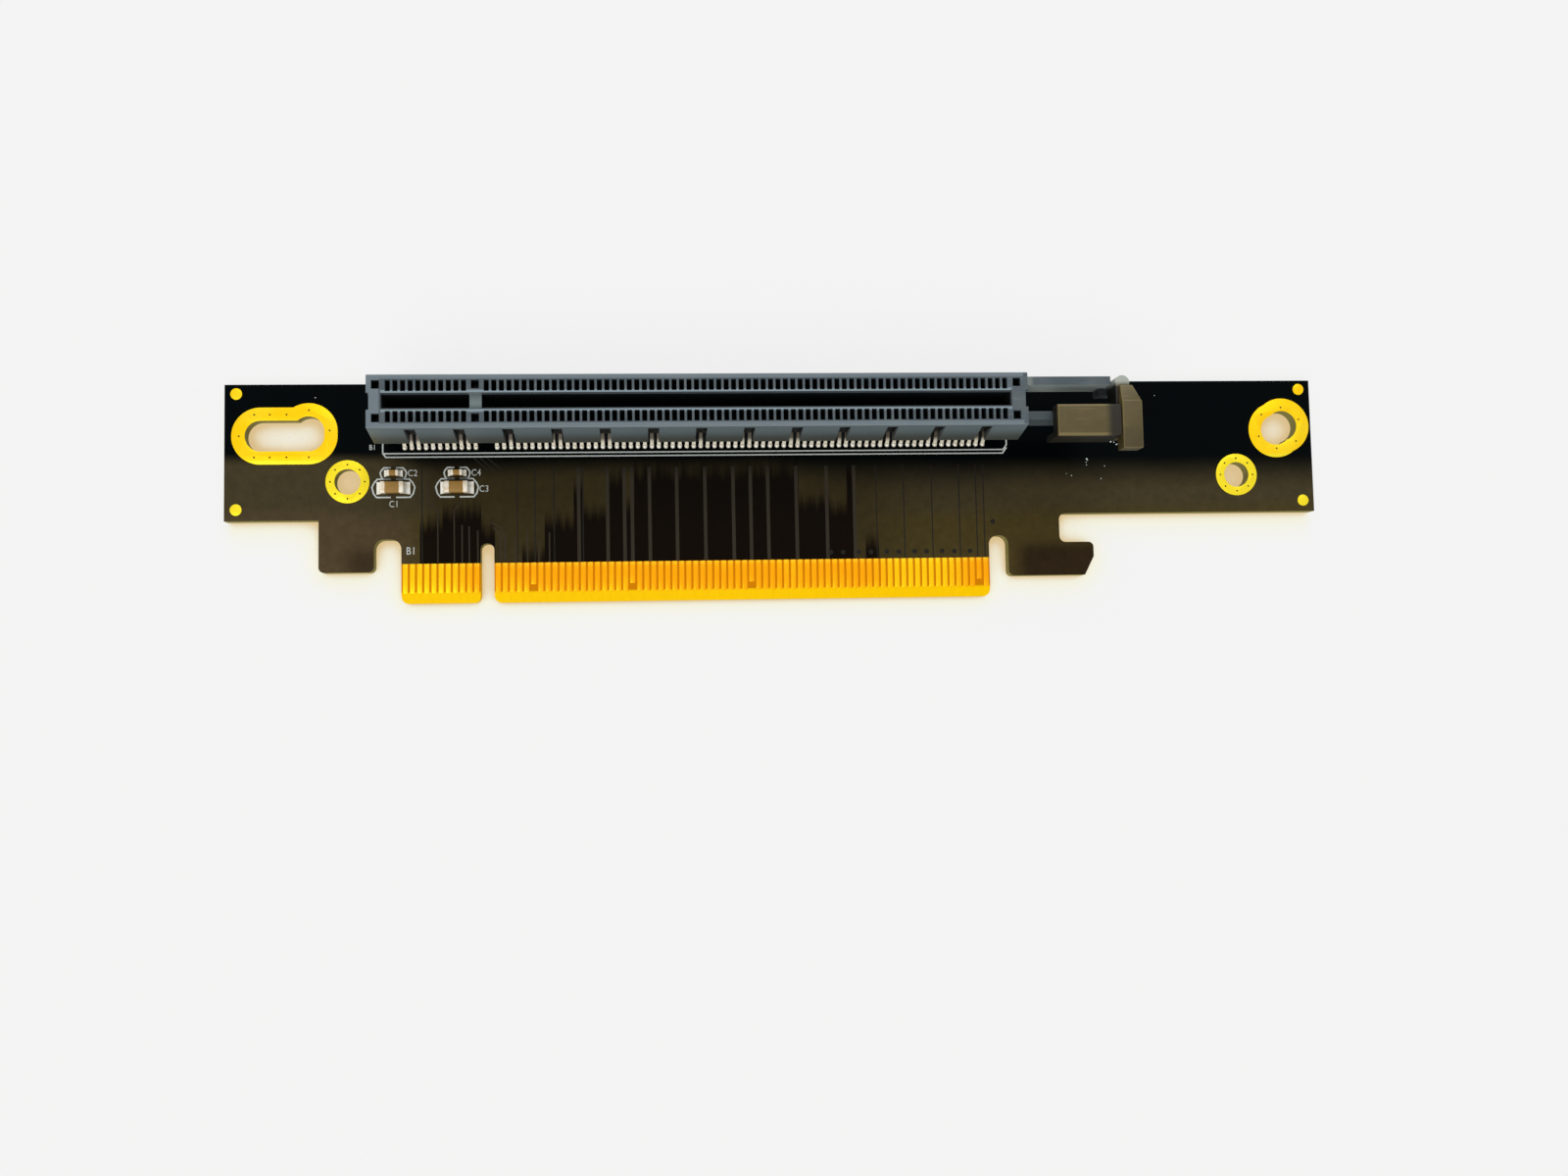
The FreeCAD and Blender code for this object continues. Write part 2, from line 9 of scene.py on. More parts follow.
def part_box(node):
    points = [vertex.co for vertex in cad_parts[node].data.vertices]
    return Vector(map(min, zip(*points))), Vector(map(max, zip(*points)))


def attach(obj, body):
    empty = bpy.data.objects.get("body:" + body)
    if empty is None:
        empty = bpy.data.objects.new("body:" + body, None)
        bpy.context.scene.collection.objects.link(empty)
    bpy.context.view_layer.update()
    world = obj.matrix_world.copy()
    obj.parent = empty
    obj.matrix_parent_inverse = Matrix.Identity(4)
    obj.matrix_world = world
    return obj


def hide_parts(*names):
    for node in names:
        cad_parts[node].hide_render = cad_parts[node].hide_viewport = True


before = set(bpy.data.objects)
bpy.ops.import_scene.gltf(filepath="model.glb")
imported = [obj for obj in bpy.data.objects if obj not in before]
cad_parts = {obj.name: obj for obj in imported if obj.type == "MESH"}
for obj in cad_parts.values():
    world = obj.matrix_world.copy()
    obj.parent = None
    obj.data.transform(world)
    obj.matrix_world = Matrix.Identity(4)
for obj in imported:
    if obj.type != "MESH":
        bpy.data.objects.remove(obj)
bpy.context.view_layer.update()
print("frame loaded,", len(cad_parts), "nodes")

mm = 0.001
chance = random.Random(16)  # scatters the dust

# Datums read from the frame, in metres.
boardLow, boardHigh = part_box("circuit_board")
fingersLow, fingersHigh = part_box("edge_fingers_front")
housingLow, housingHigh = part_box("slot_housing")
tailsLow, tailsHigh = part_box("slot_contacts_front")
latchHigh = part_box("retention_latch")[1]
boardFace = boardHigh.z

contacts = {
    "spacing": 1.0 * mm,
    "keyGap": 3.0 * mm,
    "beforeKey": 11,
    "afterKey": 71,
    "fingerWidth": 0.7 * mm,
    "tailWidth": 0.5 * mm,
}
firstContact = fingersLow.x + contacts["fingerWidth"] / 2
slotMiddle = (tailsLow.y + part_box("slot_contacts_back")[1].y) / 2


def contactPlaces():
    before = [firstContact + contacts["spacing"] * i for i in range(contacts["beforeKey"])]
    restart = before[-1] + contacts["keyGap"]
    return before + [restart + contacts["spacing"] * i for i in range(contacts["afterKey"])]


def tone(red, green, blue):
    # a screen colour of 0 to 255 as the linear one that nodes hold, by the screens' own curve
    shares = [level / 255 for level in (red, green, blue)]
    return (*[s / 12.92 if s < 0.04045 else ((s + 0.055) / 1.055) ** 2.4 for s in shares], 1.0)


class Wire:  # one shader value; arithmetic on it adds Math nodes
    def __init__(self, finish, socket):
        self.finish = finish
        self.socket = socket

    def math(self, operation, *values):
        return self.finish.node("ShaderNodeMath", {"operation": operation}, dict(enumerate(values)))

    def __add__(self, other):
        return self.math("ADD", self, other)

    __radd__ = __add__

    def __sub__(self, other):
        return self.math("SUBTRACT", self, other)

    def __rsub__(self, other):
        return self.math("SUBTRACT", other, self)

    def __mul__(self, other):
        return self.math("MULTIPLY", self, other)

    __rmul__ = __mul__

    def __truediv__(self, other):
        return self.math("DIVIDE", self, other)

    def __rtruediv__(self, other):
        return self.math("DIVIDE", other, self)

    def __gt__(self, other):
        return self.math("GREATER_THAN", self, other)

    def __lt__(self, other):
        return self.math("LESS_THAN", self, other)

    def power(self, other):
        return self.math("POWER", self, other)

    def size(self):
        return self.math("ABSOLUTE", self)

    def most(self, other):
        return self.math("MAXIMUM", self, other)

    def ramp(self, start, end):
        # 0 at start and 1 at end, smooth between them
        settings = {"interpolation_type": "SMOOTHSTEP"}
        return self.finish.node("ShaderNodeMapRange", settings, {0: self, 1: start, 2: end, 3: 0.0, 4: 1.0})


class Finish:  # a material, whose nodes all come from node()
    def __init__(self, name, **constants):
        self.material = bpy.data.materials.new(name)
        self.material.use_nodes = True
        self.tree = self.material.node_tree
        self.shader = self.tree.nodes["Principled BSDF"]
        for word, value in constants.items():
            self.shader.inputs[word.replace("_", " ")].default_value = value

    def node(self, kind, settings=None, inputs=None, output=0):
        made = self.tree.nodes.new(kind)
        settings = dict(settings or {})
        stops = settings.pop("stops", ())
        for word, value in settings.items():
            setattr(made, word, value)
        if stops:
            ramp = made.color_ramp
            ramp.interpolation = "CONSTANT"
            while len(ramp.elements) < len(stops):
                ramp.elements.new(1.0)
            for element, (position, value) in zip(ramp.elements, stops):
                element.position = position
                element.color = (value, value, value, 1)
        for key, value in (inputs or {}).items():
            if isinstance(value, Wire):
                self.tree.links.new(value.socket, made.inputs[key])
            else:
                made.inputs[key].default_value = value
        return Wire(self, made.outputs[output])

    def feed(self, **links):
        for word, wire in links.items():
            self.tree.links.new(wire.socket, self.shader.inputs[word.replace("_", " ")])
        return self

    def place(self):
        return self.node("ShaderNodeTexCoord", output="Object")

    def axes(self, vector):
        split = self.node("ShaderNodeSeparateXYZ", inputs={0: vector})
        outputs = split.socket.node.outputs
        return [Wire(self, outputs[i]) for i in range(3)]

    def normal(self):
        return self.axes(self.node("ShaderNodeNewGeometry", output="Normal"))

    def mix(self, factor, first, second, blend="MIX"):
        settings = {"data_type": "RGBA", "blend_type": blend}
        return self.node("ShaderNodeMix", settings, {0: factor, 6: first, 7: second}, output=2)

    def coats(self, colour, *coats):
        # tones laid over a colour in turn, each where its mask is
        for mask, coat in coats:
            colour = self.mix(mask, colour, coat)
        return colour

    def noise(self, spot, grain, detail=3.0, roughness=0.5):
        # grain is the size of a blotch
        inputs = {"Vector": spot, "Scale": 1 / grain, "Detail": detail, "Roughness": roughness}
        return self.node("ShaderNodeTexNoise", {"noise_dimensions": "3D"}, inputs)

    def stretched(self, spot, x, y, z):
        return self.node("ShaderNodeMapping", {"vector_type": "POINT"}, {"Vector": spot, "Scale": (x, y, z)})

    def ladder(self, place, rungs):
        # a value that steps from rung to rung as place goes from 0 to 1
        return self.node("ShaderNodeValToRGB", {"stops": rungs}, {0: place})

    def bump(self, height, distance, strength=1.0):
        inputs = {"Height": height, "Distance": distance, "Strength": strength}
        return self.node("ShaderNodeBump", {}, inputs)


maskLooks = {
    # tones of the mask: near black along the top as a painted dark reflection, the olive and browner ones as a
    # painted warm reflection
    "top": tone(1, 4, 5),
    "olive": tone(67, 59, 39),
    "low": tone(72, 61, 31),
    "tab": tone(80, 67, 46),
    "tongue": tone(55, 47, 26),
    "tip": tone(44, 32, 19),
    # height at which the olive painted reflection begins and where it is full, at the left, over the tongue and
    # at the right
    "reflectionFrom": (6.0 * mm, 5.4 * mm, 4.8 * mm),
    "reflectionTo": (4.0 * mm, 1.6 * mm, -1.0 * mm),
    # spans over which one tone passes into the next
    "ontoLow": (-1.0 * mm, -5.0 * mm),
    "pastTab": (-56 * mm, -50 * mm),
    "pastMiddle": (-5 * mm, 10 * mm),
    "ontoTongue": (-52 * mm, -48 * mm),
    "offTongue": (24 * mm, 8 * mm),
    "hookTip": ((33 * mm, 36 * mm), (-6.8 * mm, -9.5 * mm)),
    "tabTip": ((-63.5 * mm, -60 * mm), (-6.5 * mm, -9.5 * mm)),
    "tabEnd": -55 * mm,
    # sizes of the blotches
    "cloud": 16 * mm,
    "cloudSway": 1.4 * mm,
    "mottle": 1.1 * mm,
    "grain": 0.35 * mm,
    "ripple": 0.09 * mm,
}

coreLooks = {
    "tone": tone(9, 3, 2),
    # how far the copper under the mask reaches down from the slot: start of the band in mm, share
    "copper": (
        (-52.0, 0.55), (-48.6, 0.42), (-43.0, 0.6), (-41.0, 1.2), (-37.4, 0.86), (-34.2, 0.56), (-29.9, 0.16),
        (-28.6, 0.44), (-25.2, 0.08), (-23.0, 0.4), (-21.2, 0.0), (2.3, 0.34), (6.7, 0.42), (9.4, 0.0),
        (10.1, 1.2), (11.8, 0.78), (13.7, 1.4),
    ),
    "largestShare": 2.0,
    "afterFirst": 2.4 * mm,
    "pastLast": 0.4 * mm,
    "topEdge": 3.4 * mm,
    "fadeIn": (6.0 * mm, 3.6 * mm),
    "ragged": 0.36,
    "softEdge": (-0.12, 0.14),
    "strand": 0.9 * mm,
}

bareLooks = {
    "laminate": tone(122, 114, 62),
    "laminatePale": tone(160, 150, 92),
    "strip": tone(204, 120, 2),
    "stripWeave": tone(214, 150, 4),
    "stripEdge": tone(232, 184, 20),
    "bevel": tone(254, 204, 0),
    "margin": 0.6 * mm,
    "bevelSpan": (0.3 * mm, -0.1 * mm),
    "weave": 0.5 * mm,
    "layer": 0.9 * mm,
}

landLooks = {
    "gold": tone(246, 186, 10),
    "smallBrim": 3.07 * mm,
    "largeBrim": 4.07 * mm,
}


def maskGround(finish, spot, x, y):
    # painted reflection: near black along the top is a painted dark reflection, olive lower down a painted warm
    # reflection off the copper under the mask, browner at the two tips
    cloud = finish.noise(spot, maskLooks["cloud"], 2.0)
    height = y + (cloud - 0.5) * maskLooks["cloudSway"]
    pastTab = x.ramp(*maskLooks["pastTab"])
    pastMiddle = x.ramp(*maskLooks["pastMiddle"])

    def along(left, middle, right):
        return (middle - left) * pastTab + (right - middle) * pastMiddle + left

    def tip(name):
        acrossSpan, downSpan = maskLooks[name]
        return x.ramp(*acrossSpan) * y.ramp(*downSpan)

    low = finish.mix(pastTab, maskLooks["tab"], maskLooks["low"])
    overTongue = x.ramp(*maskLooks["ontoTongue"]) * x.ramp(*maskLooks["offTongue"])
    tabTip = tip("tabTip") * (x < maskLooks["tabEnd"])
    olive = finish.coats(
        maskLooks["olive"],
        (height.ramp(*maskLooks["ontoLow"]), low),
        (overTongue * 0.9, maskLooks["tongue"]),
        (tip("hookTip").most(tabTip * 0.7) * 0.9, maskLooks["tip"]),
    )
    # painted reflection: the warm one fades in downwards over the dark one
    warmReflection = height.ramp(along(*maskLooks["reflectionFrom"]), along(*maskLooks["reflectionTo"]))
    return finish.mix(warmReflection, maskLooks["top"], olive)


def bareCore(finish, spot, x, y):
    # copper under the mask makes it olive, the olive being a painted warm reflection; this is 1 where there is
    # none, and the dark core shows
    left = fingersLow.x + coreLooks["afterFirst"]
    right = fingersHigh.x + coreLooks["pastLast"]
    span = right - left
    most = coreLooks["largestShare"]  # a ramp holds 1 at most
    rungs = [(max(0.0, (start * mm - left) / span), share / most) for start, share in coreLooks["copper"]]
    wander = finish.noise(finish.stretched(spot, 1, 0.03, 0), coreLooks["strand"], 2.0)
    reach = finish.ladder((x - left) / span, rungs) * most + (wander - 0.5) * coreLooks["ragged"]
    down = (coreLooks["topEdge"] - y) / (coreLooks["topEdge"] - fingersHigh.y)
    bare = (down - reach).ramp(*coreLooks["softEdge"])
    overTongue = (x > left) * (x < right) * (y > fingersHigh.y)
    return overTongue * bare * y.ramp(*coreLooks["fadeIn"])


def backLands(x, y, facing):
    # copper lands round the holes, on the back alone: the front ones are pieces of their own
    lands = x * 0.0
    for node in ("left_hole_ring", "right_hole_ring"):
        low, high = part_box(node)
        across = x - (low.x + high.x) / 2
        along = y - (low.y + high.y) / 2
        lands = lands.most((across * across + along * along).power(0.5) < landLooks["smallBrim"])
    for node in ("keyhole_ring", "double_hole_ring"):
        low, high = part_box(node)
        radius = landLooks["largeBrim"]
        beyond = (x - (high.x - radius)).most((low.x + radius) - x).most(0.0)
        along = y - (low.y + radius)
        lands = lands.most((beyond * beyond + along * along).power(0.5) < radius)
    return lands * (facing < -0.5)


def maskFinish():
    # glossy dark solder mask, bare laminate on the cut edges, and the stripped band round the fingers
    finish = Finish("maskFinish", Specular_IOR_Level=0.03, IOR=1.5)
    spot = finish.place()
    x, y = finish.axes(spot)[:2]
    facing = finish.normal()[2]
    grain = finish.noise(spot, maskLooks["grain"], 2.0)
    mottle = finish.noise(spot, maskLooks["mottle"], 3.0, 0.6)
    core = bareCore(finish, spot, x, y)
    ground = finish.mix(core * 0.93, maskGround(finish, spot, x, y), coreLooks["tone"])
    ground = finish.mix((mottle - 0.5) * 0.5 + 0.12, ground, (0, 0, 0, 1), "MULTIPLY")

    # the stripped band round the fingers and the bevel below them have no mask
    margin = bareLooks["margin"]
    onTongue = (x > fingersLow.x - margin) * (x < fingersHigh.x + margin)
    stripped = onTongue * (y < fingersHigh.y)
    bevelled = onTongue * y.ramp(*[fingersLow.y + height for height in bareLooks["bevelSpan"]])
    weave = finish.noise(finish.stretched(spot, 1, 0.25, 1), bareLooks["weave"], 2.0)
    strip = finish.coats(
        bareLooks["strip"], (bevelled, bareLooks["bevel"]), (weave * 0.3, bareLooks["stripWeave"])
    )

    # the cut edge shows the layers of the laminate
    layers = finish.noise(finish.stretched(spot, 0.3, 0.3, 6), bareLooks["layer"], 3.0)
    edge = finish.mix(layers, bareLooks["laminate"], bareLooks["laminatePale"])
    edge = finish.mix(stripped, edge, bareLooks["stripEdge"])
    upright = facing.size() < 0.5
    lands = backLands(x, y, facing)
    ripple = finish.noise(spot, maskLooks["ripple"], 1.0) * 0.3 + core * -0.6
    finish.feed(
        Base_Color=finish.coats(ground, (stripped, strip), (upright, edge), (lands, landLooks["gold"])),
        Roughness=0.24 + grain * 0.1 + stripped * 0.25 + upright * 0.4,
        Metallic=lands * 0.5,
        Normal=finish.bump(ripple, 0.012 * mm, 0.5),
    )
    return finish.material


traceLooks = {
    "light": tone(48, 41, 29),
    "dim": tone(30, 25, 16),
    # heights over which the painted reflection brightens the runs
    "brighter": (3.6 * mm, 1.8 * mm),
    "patch": 1.6 * mm,
}


def traceFinish():
    # a copper run under the mask, brightest towards the fingers as a painted warm reflection, like the mask's
    finish = Finish("traceFinish", Specular_IOR_Level=0.14, IOR=1.5)
    spot = finish.place()
    y = finish.axes(spot)[1]
    patch = finish.noise(finish.stretched(spot, 1, 0.3, 1), traceLooks["patch"], 3.0)
    fade = y.ramp(*traceLooks["brighter"]) * (patch * 0.7 + 0.5)
    finish.feed(
        Base_Color=finish.mix(fade, traceLooks["dim"], traceLooks["light"]),
        Roughness=0.26 + patch * 0.12,
        Normal=finish.bump(patch, 0.01 * mm, 0.4),
    )
    return finish.material


goldLooks = {
    "finger": (tone(255, 166, 0), tone(255, 198, 6)),
    "land": (tone(255, 204, 6), tone(246, 222, 40)),
    "deep": tone(216, 130, 0),
    "rub": tone(255, 206, 40),
    "rubDepth": 0.7 * mm,
    # stretches of the fingers that are more yellow, and the length over which they fade
    "yellowSpans": ((-60 * mm, -43 * mm), (12 * mm, 28 * mm)),
    "yellowFade": 5 * mm,
    "blotch": 6 * mm,
    "brushed": 0.12 * mm,
}


def goldFinish(name, body, pale, yellowBelow=None):
    # plated copper; the lands are yellow below a height, the fingers in stretches
    finish = Finish(name, Specular_IOR_Level=0.14, IOR=1.5)
    spot = finish.place()
    x, y = finish.axes(spot)[:2]
    blotch = finish.noise(spot, goldLooks["blotch"], 3.0)
    brushed = finish.noise(finish.stretched(spot, 1, 0.06, 1), goldLooks["brushed"], 2.0)
    yellow = blotch.ramp(0.46, 0.7) * 0.5
    if yellowBelow:
        yellow = yellow.most(y < yellowBelow)
    else:
        fade = goldLooks["yellowFade"]
        for start, end in goldLooks["yellowSpans"]:
            yellow = yellow.most(x.ramp(start, start + fade) * x.ramp(end, end - fade))
    top = y.ramp(fingersHigh.y - goldLooks["rubDepth"], fingersHigh.y)
    onFingers = (y < fingersHigh.y + 0.1 * mm) * (x < fingersHigh.x + mm)
    colour = finish.coats(
        body,
        (yellow, pale),
        (top * onFingers * 0.5, goldLooks["rub"]),
        ((brushed > 0.62) * 0.14, goldLooks["deep"]),
    )
    finish.feed(
        Base_Color=colour,
        Roughness=0.3 + brushed * 0.16,
        Metallic=0.46 + blotch * 0.06,
        Normal=finish.bump(brushed, 0.004 * mm, 0.6),
    )
    return finish.material


def plasticFinish(name, body, wornAndHighlight, dusty, roughness, speckle, lightAndShade):
    # satin moulding: fine grain, dustier in patches and worn, with painted highlights and painted shade laid on
    # by the function given last
    finish = Finish(name, Specular_IOR_Level=0.3, IOR=1.5)
    spot = finish.place()
    grain = finish.noise(spot, speckle, 3.0, 0.65)
    patch = finish.noise(spot, 4 * mm, 4.0, 0.6)
    smear = finish.noise(finish.stretched(spot, 0.12, 1, 1), 0.8 * mm, 3.0)
    colour = finish.coats(
        body,
        (patch.ramp(0.35, 0.75), dusty),
        (grain.ramp(0.5, 0.85) * 0.3, wornAndHighlight),
        (smear.ramp(0.56, 0.72) * 0.2, wornAndHighlight),
    )
    finish.feed(
        Base_Color=lightAndShade(finish, spot, colour, wornAndHighlight),
        Roughness=roughness + grain * 0.16 - smear * 0.06,
        Normal=finish.bump(grain, 0.01 * mm, 0.5),
    )
    return finish.material


slotLooks = {
    "edge": 0.05 * mm,
    "blockLength": 89.0 * mm,
    "coreFace": 3.35 * mm,
    # the hollow of the core under the skirt: depth, heights over the board, distance from the ends
    "hollow": 1.3 * mm,
    "hollowLow": 0.5 * mm,
    "hollowHigh": 6.0 * mm,
    "hollowEnd": 1.2 * mm,
}

slotPaint = {
    "body": tone(66, 76, 82),
    "wornAndHighlight": tone(126, 138, 142),
    "dusty": tone(82, 90, 94),
    # painted shade for the pockets, the mouth and the hollow, then painted light and shade tones for the lips,
    # rib, root, skirt, arms and eye
    "recessShade": tone(2, 3, 3),
    "lip": tone(112, 124, 130),
    "innerLip": tone(134, 150, 158),
    "rib": tone(124, 136, 136),
    "root": tone(146, 150, 140),
    "skirtHigh": tone(100, 114, 118),
    "skirtLow": tone(64, 66, 58),
    "arm": tone(44, 52, 56),
    "inner": tone(176, 186, 182),
    "eye": tone(16, 19, 20),
    # distances from the slot's middle plane
    "ribReach": 1.0 * mm,
    "mouthReach": 1.11 * mm,
    "lipReach": 1.48 * mm,
    "eyeReach": 1.7 * mm,
    "lipFrom": 3.0 * mm,
    "pocketReach": 3.1 * mm,
    "coreReach": 3.6 * mm,
    "skirtFrom": 3.66 * mm,
    # depths under the slot's top
    "topSkin": 0.2 * mm,
    "skirtTop": 0.3 * mm,
    "underTop": 0.6 * mm,
    "ribDepth": 0.8 * mm,
    "pocketFade": (0.06 * mm, 0.75 * mm),
    # lengths along the slot
    "endWall": 0.6 * mm,
    "slotLead": 0.93 * mm,
    "endGap": 0.2 * mm,
    "ribHalf": 0.84 * mm,
    "rootSpan": (1.1 * mm, 0.3 * mm),
    "eyeFrom": 0.3 * mm,
    "skirtHeights": (8.4 * mm, 11.8 * mm),
}


def slotLightAndShade(finish, spot, colour, wornAndHighlight):
    # painted light and shade: the pockets, the mouth and the hollow under the skirt go black as painted shade,
    # the lips, the key rib and the far arm's root and inner face are paler as painted light, the near arm, the
    # eye and the skirt's lower part are darker as painted shade, and bevels and the arms' sides take a painted
    # highlight
    paint = slotPaint
    x, y, z = finish.axes(spot)
    normal = finish.normal()
    facing = normal[2]
    offSlot = (y - slotMiddle).size()
    top = housingHigh.z
    blockEnd = housingLow.x + slotLooks["blockLength"]
    slotStart = firstContact - paint["slotLead"]
    slotEnd = contactPlaces()[-1] + paint["slotLead"]
    keyCentre = firstContact + contacts["spacing"] * (contacts["beforeKey"] - 1) + contacts["keyGap"] / 2

    onBlock = (x > housingLow.x + paint["endWall"]) * (x < blockEnd - paint["endWall"])
    onTop = (z > top - paint["topSkin"]) * (facing > 0.3)
    # the key rib is kept out of the painted shade and gets a painted light of its own
    onRib = ((x - keyCentre).size() < paint["ribHalf"]) * (z > top - paint["ribDepth"])
    onRib = onRib * (offSlot < paint["ribReach"])
    # painted shade: the pockets darken with depth, and the hollow under the skirt and the mouth go black
    depth = z.ramp(*[top - fade for fade in paint["pocketFade"]])
    pockets = onBlock * (offSlot < paint["pocketReach"]) * depth
    under = onBlock * (offSlot < paint["coreReach"]) * (z < top - paint["underTop"])

    # painted light: the lips along the top and the end block's top are paler
    alongTop = (x > slotStart) * (x < slotEnd) * onTop
    mouth = alongTop * (offSlot < paint["mouthReach"])
    innerLip = alongTop * (offSlot > paint["mouthReach"]) * (offSlot < paint["lipReach"])
    outerLip = onBlock * onTop * (offSlot > paint["lipFrom"])
    endBlock = onTop * (x < slotStart - paint["endGap"])
    # painted highlight: bevels, and on the arms the upright sides, take the worn tone
    edge = facing.ramp(0.995, 0.85) * (facing > 0.3)

    # painted shade: the skirt darkens downwards towards the board
    outward = (x < blockEnd) * (offSlot > paint["skirtFrom"]) * (z < top - paint["skirtTop"])
    skirt = outward * (facing.size() < 0.5)
    skirtTone = finish.mix(z.ramp(*paint["skirtHeights"]), paint["skirtLow"], paint["skirtHigh"])

    # painted shade on the near arm and the eye, painted light on the far arm's root and inner face
    onArms = x > blockEnd
    farArm = onArms * (y > slotMiddle)
    nearArm = onArms * (y < slotMiddle)
    side = onArms * (facing.size() < 0.5)
    farRoot = farArm * x.ramp(*[blockEnd + reach for reach in paint["rootSpan"]]) * (facing > 0.5)
    inner = farArm * (normal[1] < -0.5)
    eye = (x > blockEnd + paint["eyeFrom"]) * (offSlot < paint["eyeReach"])

    dark = pockets.most(under).most(mouth * 0.8) * (1 - onRib)
    return finish.coats(
        colour,
        (skirt * 0.8, skirtTone),
        (outerLip.most(endBlock) * 0.7, paint["lip"]),
        (edge.most(side) * 0.5, wornAndHighlight),
        (innerLip * 0.75, paint["innerLip"]),
        (nearArm * 0.6, paint["arm"]),
        (farRoot * 0.4, paint["root"]),
        (inner * 0.75, paint["inner"]),
        (eye * 0.8, paint["eye"]),
        (onRib * 0.6, paint["rib"]),
        (dark * 0.97, paint["recessShade"]),
    )


latchPaint = {
    "body": tone(78, 67, 38),
    "wornAndHighlight": tone(136, 120, 76),
    "dusty": tone(90, 79, 47),
    "shade": tone(6, 5, 3),
    # painted shade for the neck and the paddle's lower part
    "neck": tone(22, 19, 11),
    "cheek": tone(172, 178, 168),
    "cheekSpan": (11.7 * mm, 12.5 * mm),
    "lowerSpan": (7.0 * mm, 4.0 * mm),
    "neckSpan": (2.6 * mm, 1.3 * mm),
    # a painted highlight along the paddle's crease
    "crease": 9.5 * mm,
    "creaseHalf": 0.05 * mm,
    "paddle": 2.7 * mm,
    "skirtTop": 0.5 * mm,
}


def latchLightAndShade(finish, spot, colour, wornAndHighlight):
    # painted light and shade: the thumb block's skirt, its neck by the paddle and the paddle's lower part are
    # dark as painted shade, bevels and the crease carry a painted highlight, and the knuckle on the far arm is
    # pale
    paint = latchPaint
    x, y, z = finish.axes(spot)
    normal = finish.normal()
    facing = normal[2]
    paddleEdge = latchHigh.x - paint["paddle"]
    onBlock = x < paddleEdge
    onPaddle = 1 - onBlock
    # painted highlight on the bevels
    edge = facing.ramp(0.995, 0.85) * (facing > 0.2)
    # painted shade on the neck by the paddle, under the block and on the paddle's lower part
    neck = onBlock * x.ramp(*[paddleEdge - reach for reach in paint["neckSpan"]])
    neck = neck * (y < paint["cheekSpan"][0])
    outward = (normal[1] < -0.5).most(normal[0] < -0.5)
    skirt = onBlock * outward * (z < latchHigh.z - paint["skirtTop"])
    lower = onPaddle * y.ramp(*paint["lowerSpan"])
    # painted highlight along the crease
    crease = onPaddle * ((y - paint["crease"]).size() < paint["creaseHalf"]) * (facing > 0.5)
    cheek = y.ramp(*paint["cheekSpan"]) * (facing > -0.5)
    return finish.coats(
        colour,
        (edge * 0.6, wornAndHighlight),
        (neck * 0.94, paint["neck"]),
        (skirt * 0.96, paint["shade"]),
        (lower * 0.3, paint["neck"]),
        (crease * 0.6, wornAndHighlight),
        (cheek * 0.85, paint["cheek"]),
    )


metalLooks = {
    "tin": (tone(255, 246, 228), tone(228, 204, 166)),
    "solder": (tone(255, 252, 242), tone(232, 224, 200)),
    "blotch": 0.7 * mm,
    "fine": 0.12 * mm,
}


def metalFinish(name, body, shade, roughness, metal):
    finish = Finish(name, Specular_IOR_Level=0.6, IOR=1.6)
    spot = finish.place()
    blotch = finish.noise(spot, metalLooks["blotch"], 3.0)
    fine = finish.noise(spot, metalLooks["fine"], 2.0)
    finish.feed(
        Base_Color=finish.mix(blotch.ramp(0.4, 0.7), body, shade),
        Roughness=roughness + fine * 0.14,
        Metallic=metal + blotch * 0.1,
        Normal=finish.bump(fine, 0.006 * mm, 0.6),
    )
    return finish.material


ceramicLooks = {
    "body": tone(142, 108, 44),
    "layer": tone(172, 130, 60),
    "speck": tone(100, 68, 26),
    "layerSize": 0.25 * mm,
    "speckSize": 0.06 * mm,
}


def ceramicFinish():
    finish = Finish("ceramicFinish", Specular_IOR_Level=0.45, IOR=1.5)
    spot = finish.place()
    grain = finish.noise(spot, ceramicLooks["speckSize"], 3.0, 0.7)
    layers = finish.noise(finish.stretched(spot, 0.15, 1, 1), ceramicLooks["layerSize"], 2.0)
    colour = finish.coats(
        ceramicLooks["body"],
        (layers, ceramicLooks["layer"]),
        (grain.ramp(0.55, 0.8) * 0.5, ceramicLooks["speck"]),
    )
    finish.feed(
        Base_Color=colour,
        Roughness=0.42 + grain * 0.2,
        Normal=finish.bump(grain, 0.008 * mm, 0.6),
    )
    return finish.material


inkTones = {"full": tone(196, 202, 198), "thin": tone(112, 122, 124), "patch": 0.12 * mm}


def inkFinish():
    finish = Finish("inkFinish", Specular_IOR_Level=0.25, IOR=1.5)
    spot = finish.place()
    thin = finish.noise(spot, inkTones["patch"], 3.0, 0.7)
    finish.feed(
        Base_Color=finish.mix(thin.ramp(0.5, 0.8) * 0.6, inkTones["full"], inkTones["thin"]),
        Roughness=0.55 + thin * 0.2,
        Normal=finish.bump(thin, 0.006 * mm, 0.5),
    )
    return finish.material


darkTones = {"deep": tone(8, 7, 4), "pale": tone(22, 18, 8), "patch": 0.1 * mm}


def darkFinish():
    # the insides of the vias, as painted shade of their holes, and the lines between two runs
    finish = Finish("darkFinish", Specular_IOR_Level=0.2, IOR=1.5)
    spot = finish.place()
    soot = finish.noise(spot, darkTones["patch"], 2.0)
    finish.feed(
        Base_Color=finish.mix(soot, darkTones["deep"], darkTones["pale"]),
        Roughness=0.6 + soot * 0.2,
        Normal=finish.bump(soot, 0.01 * mm, 0.4),
    )
    return finish.material


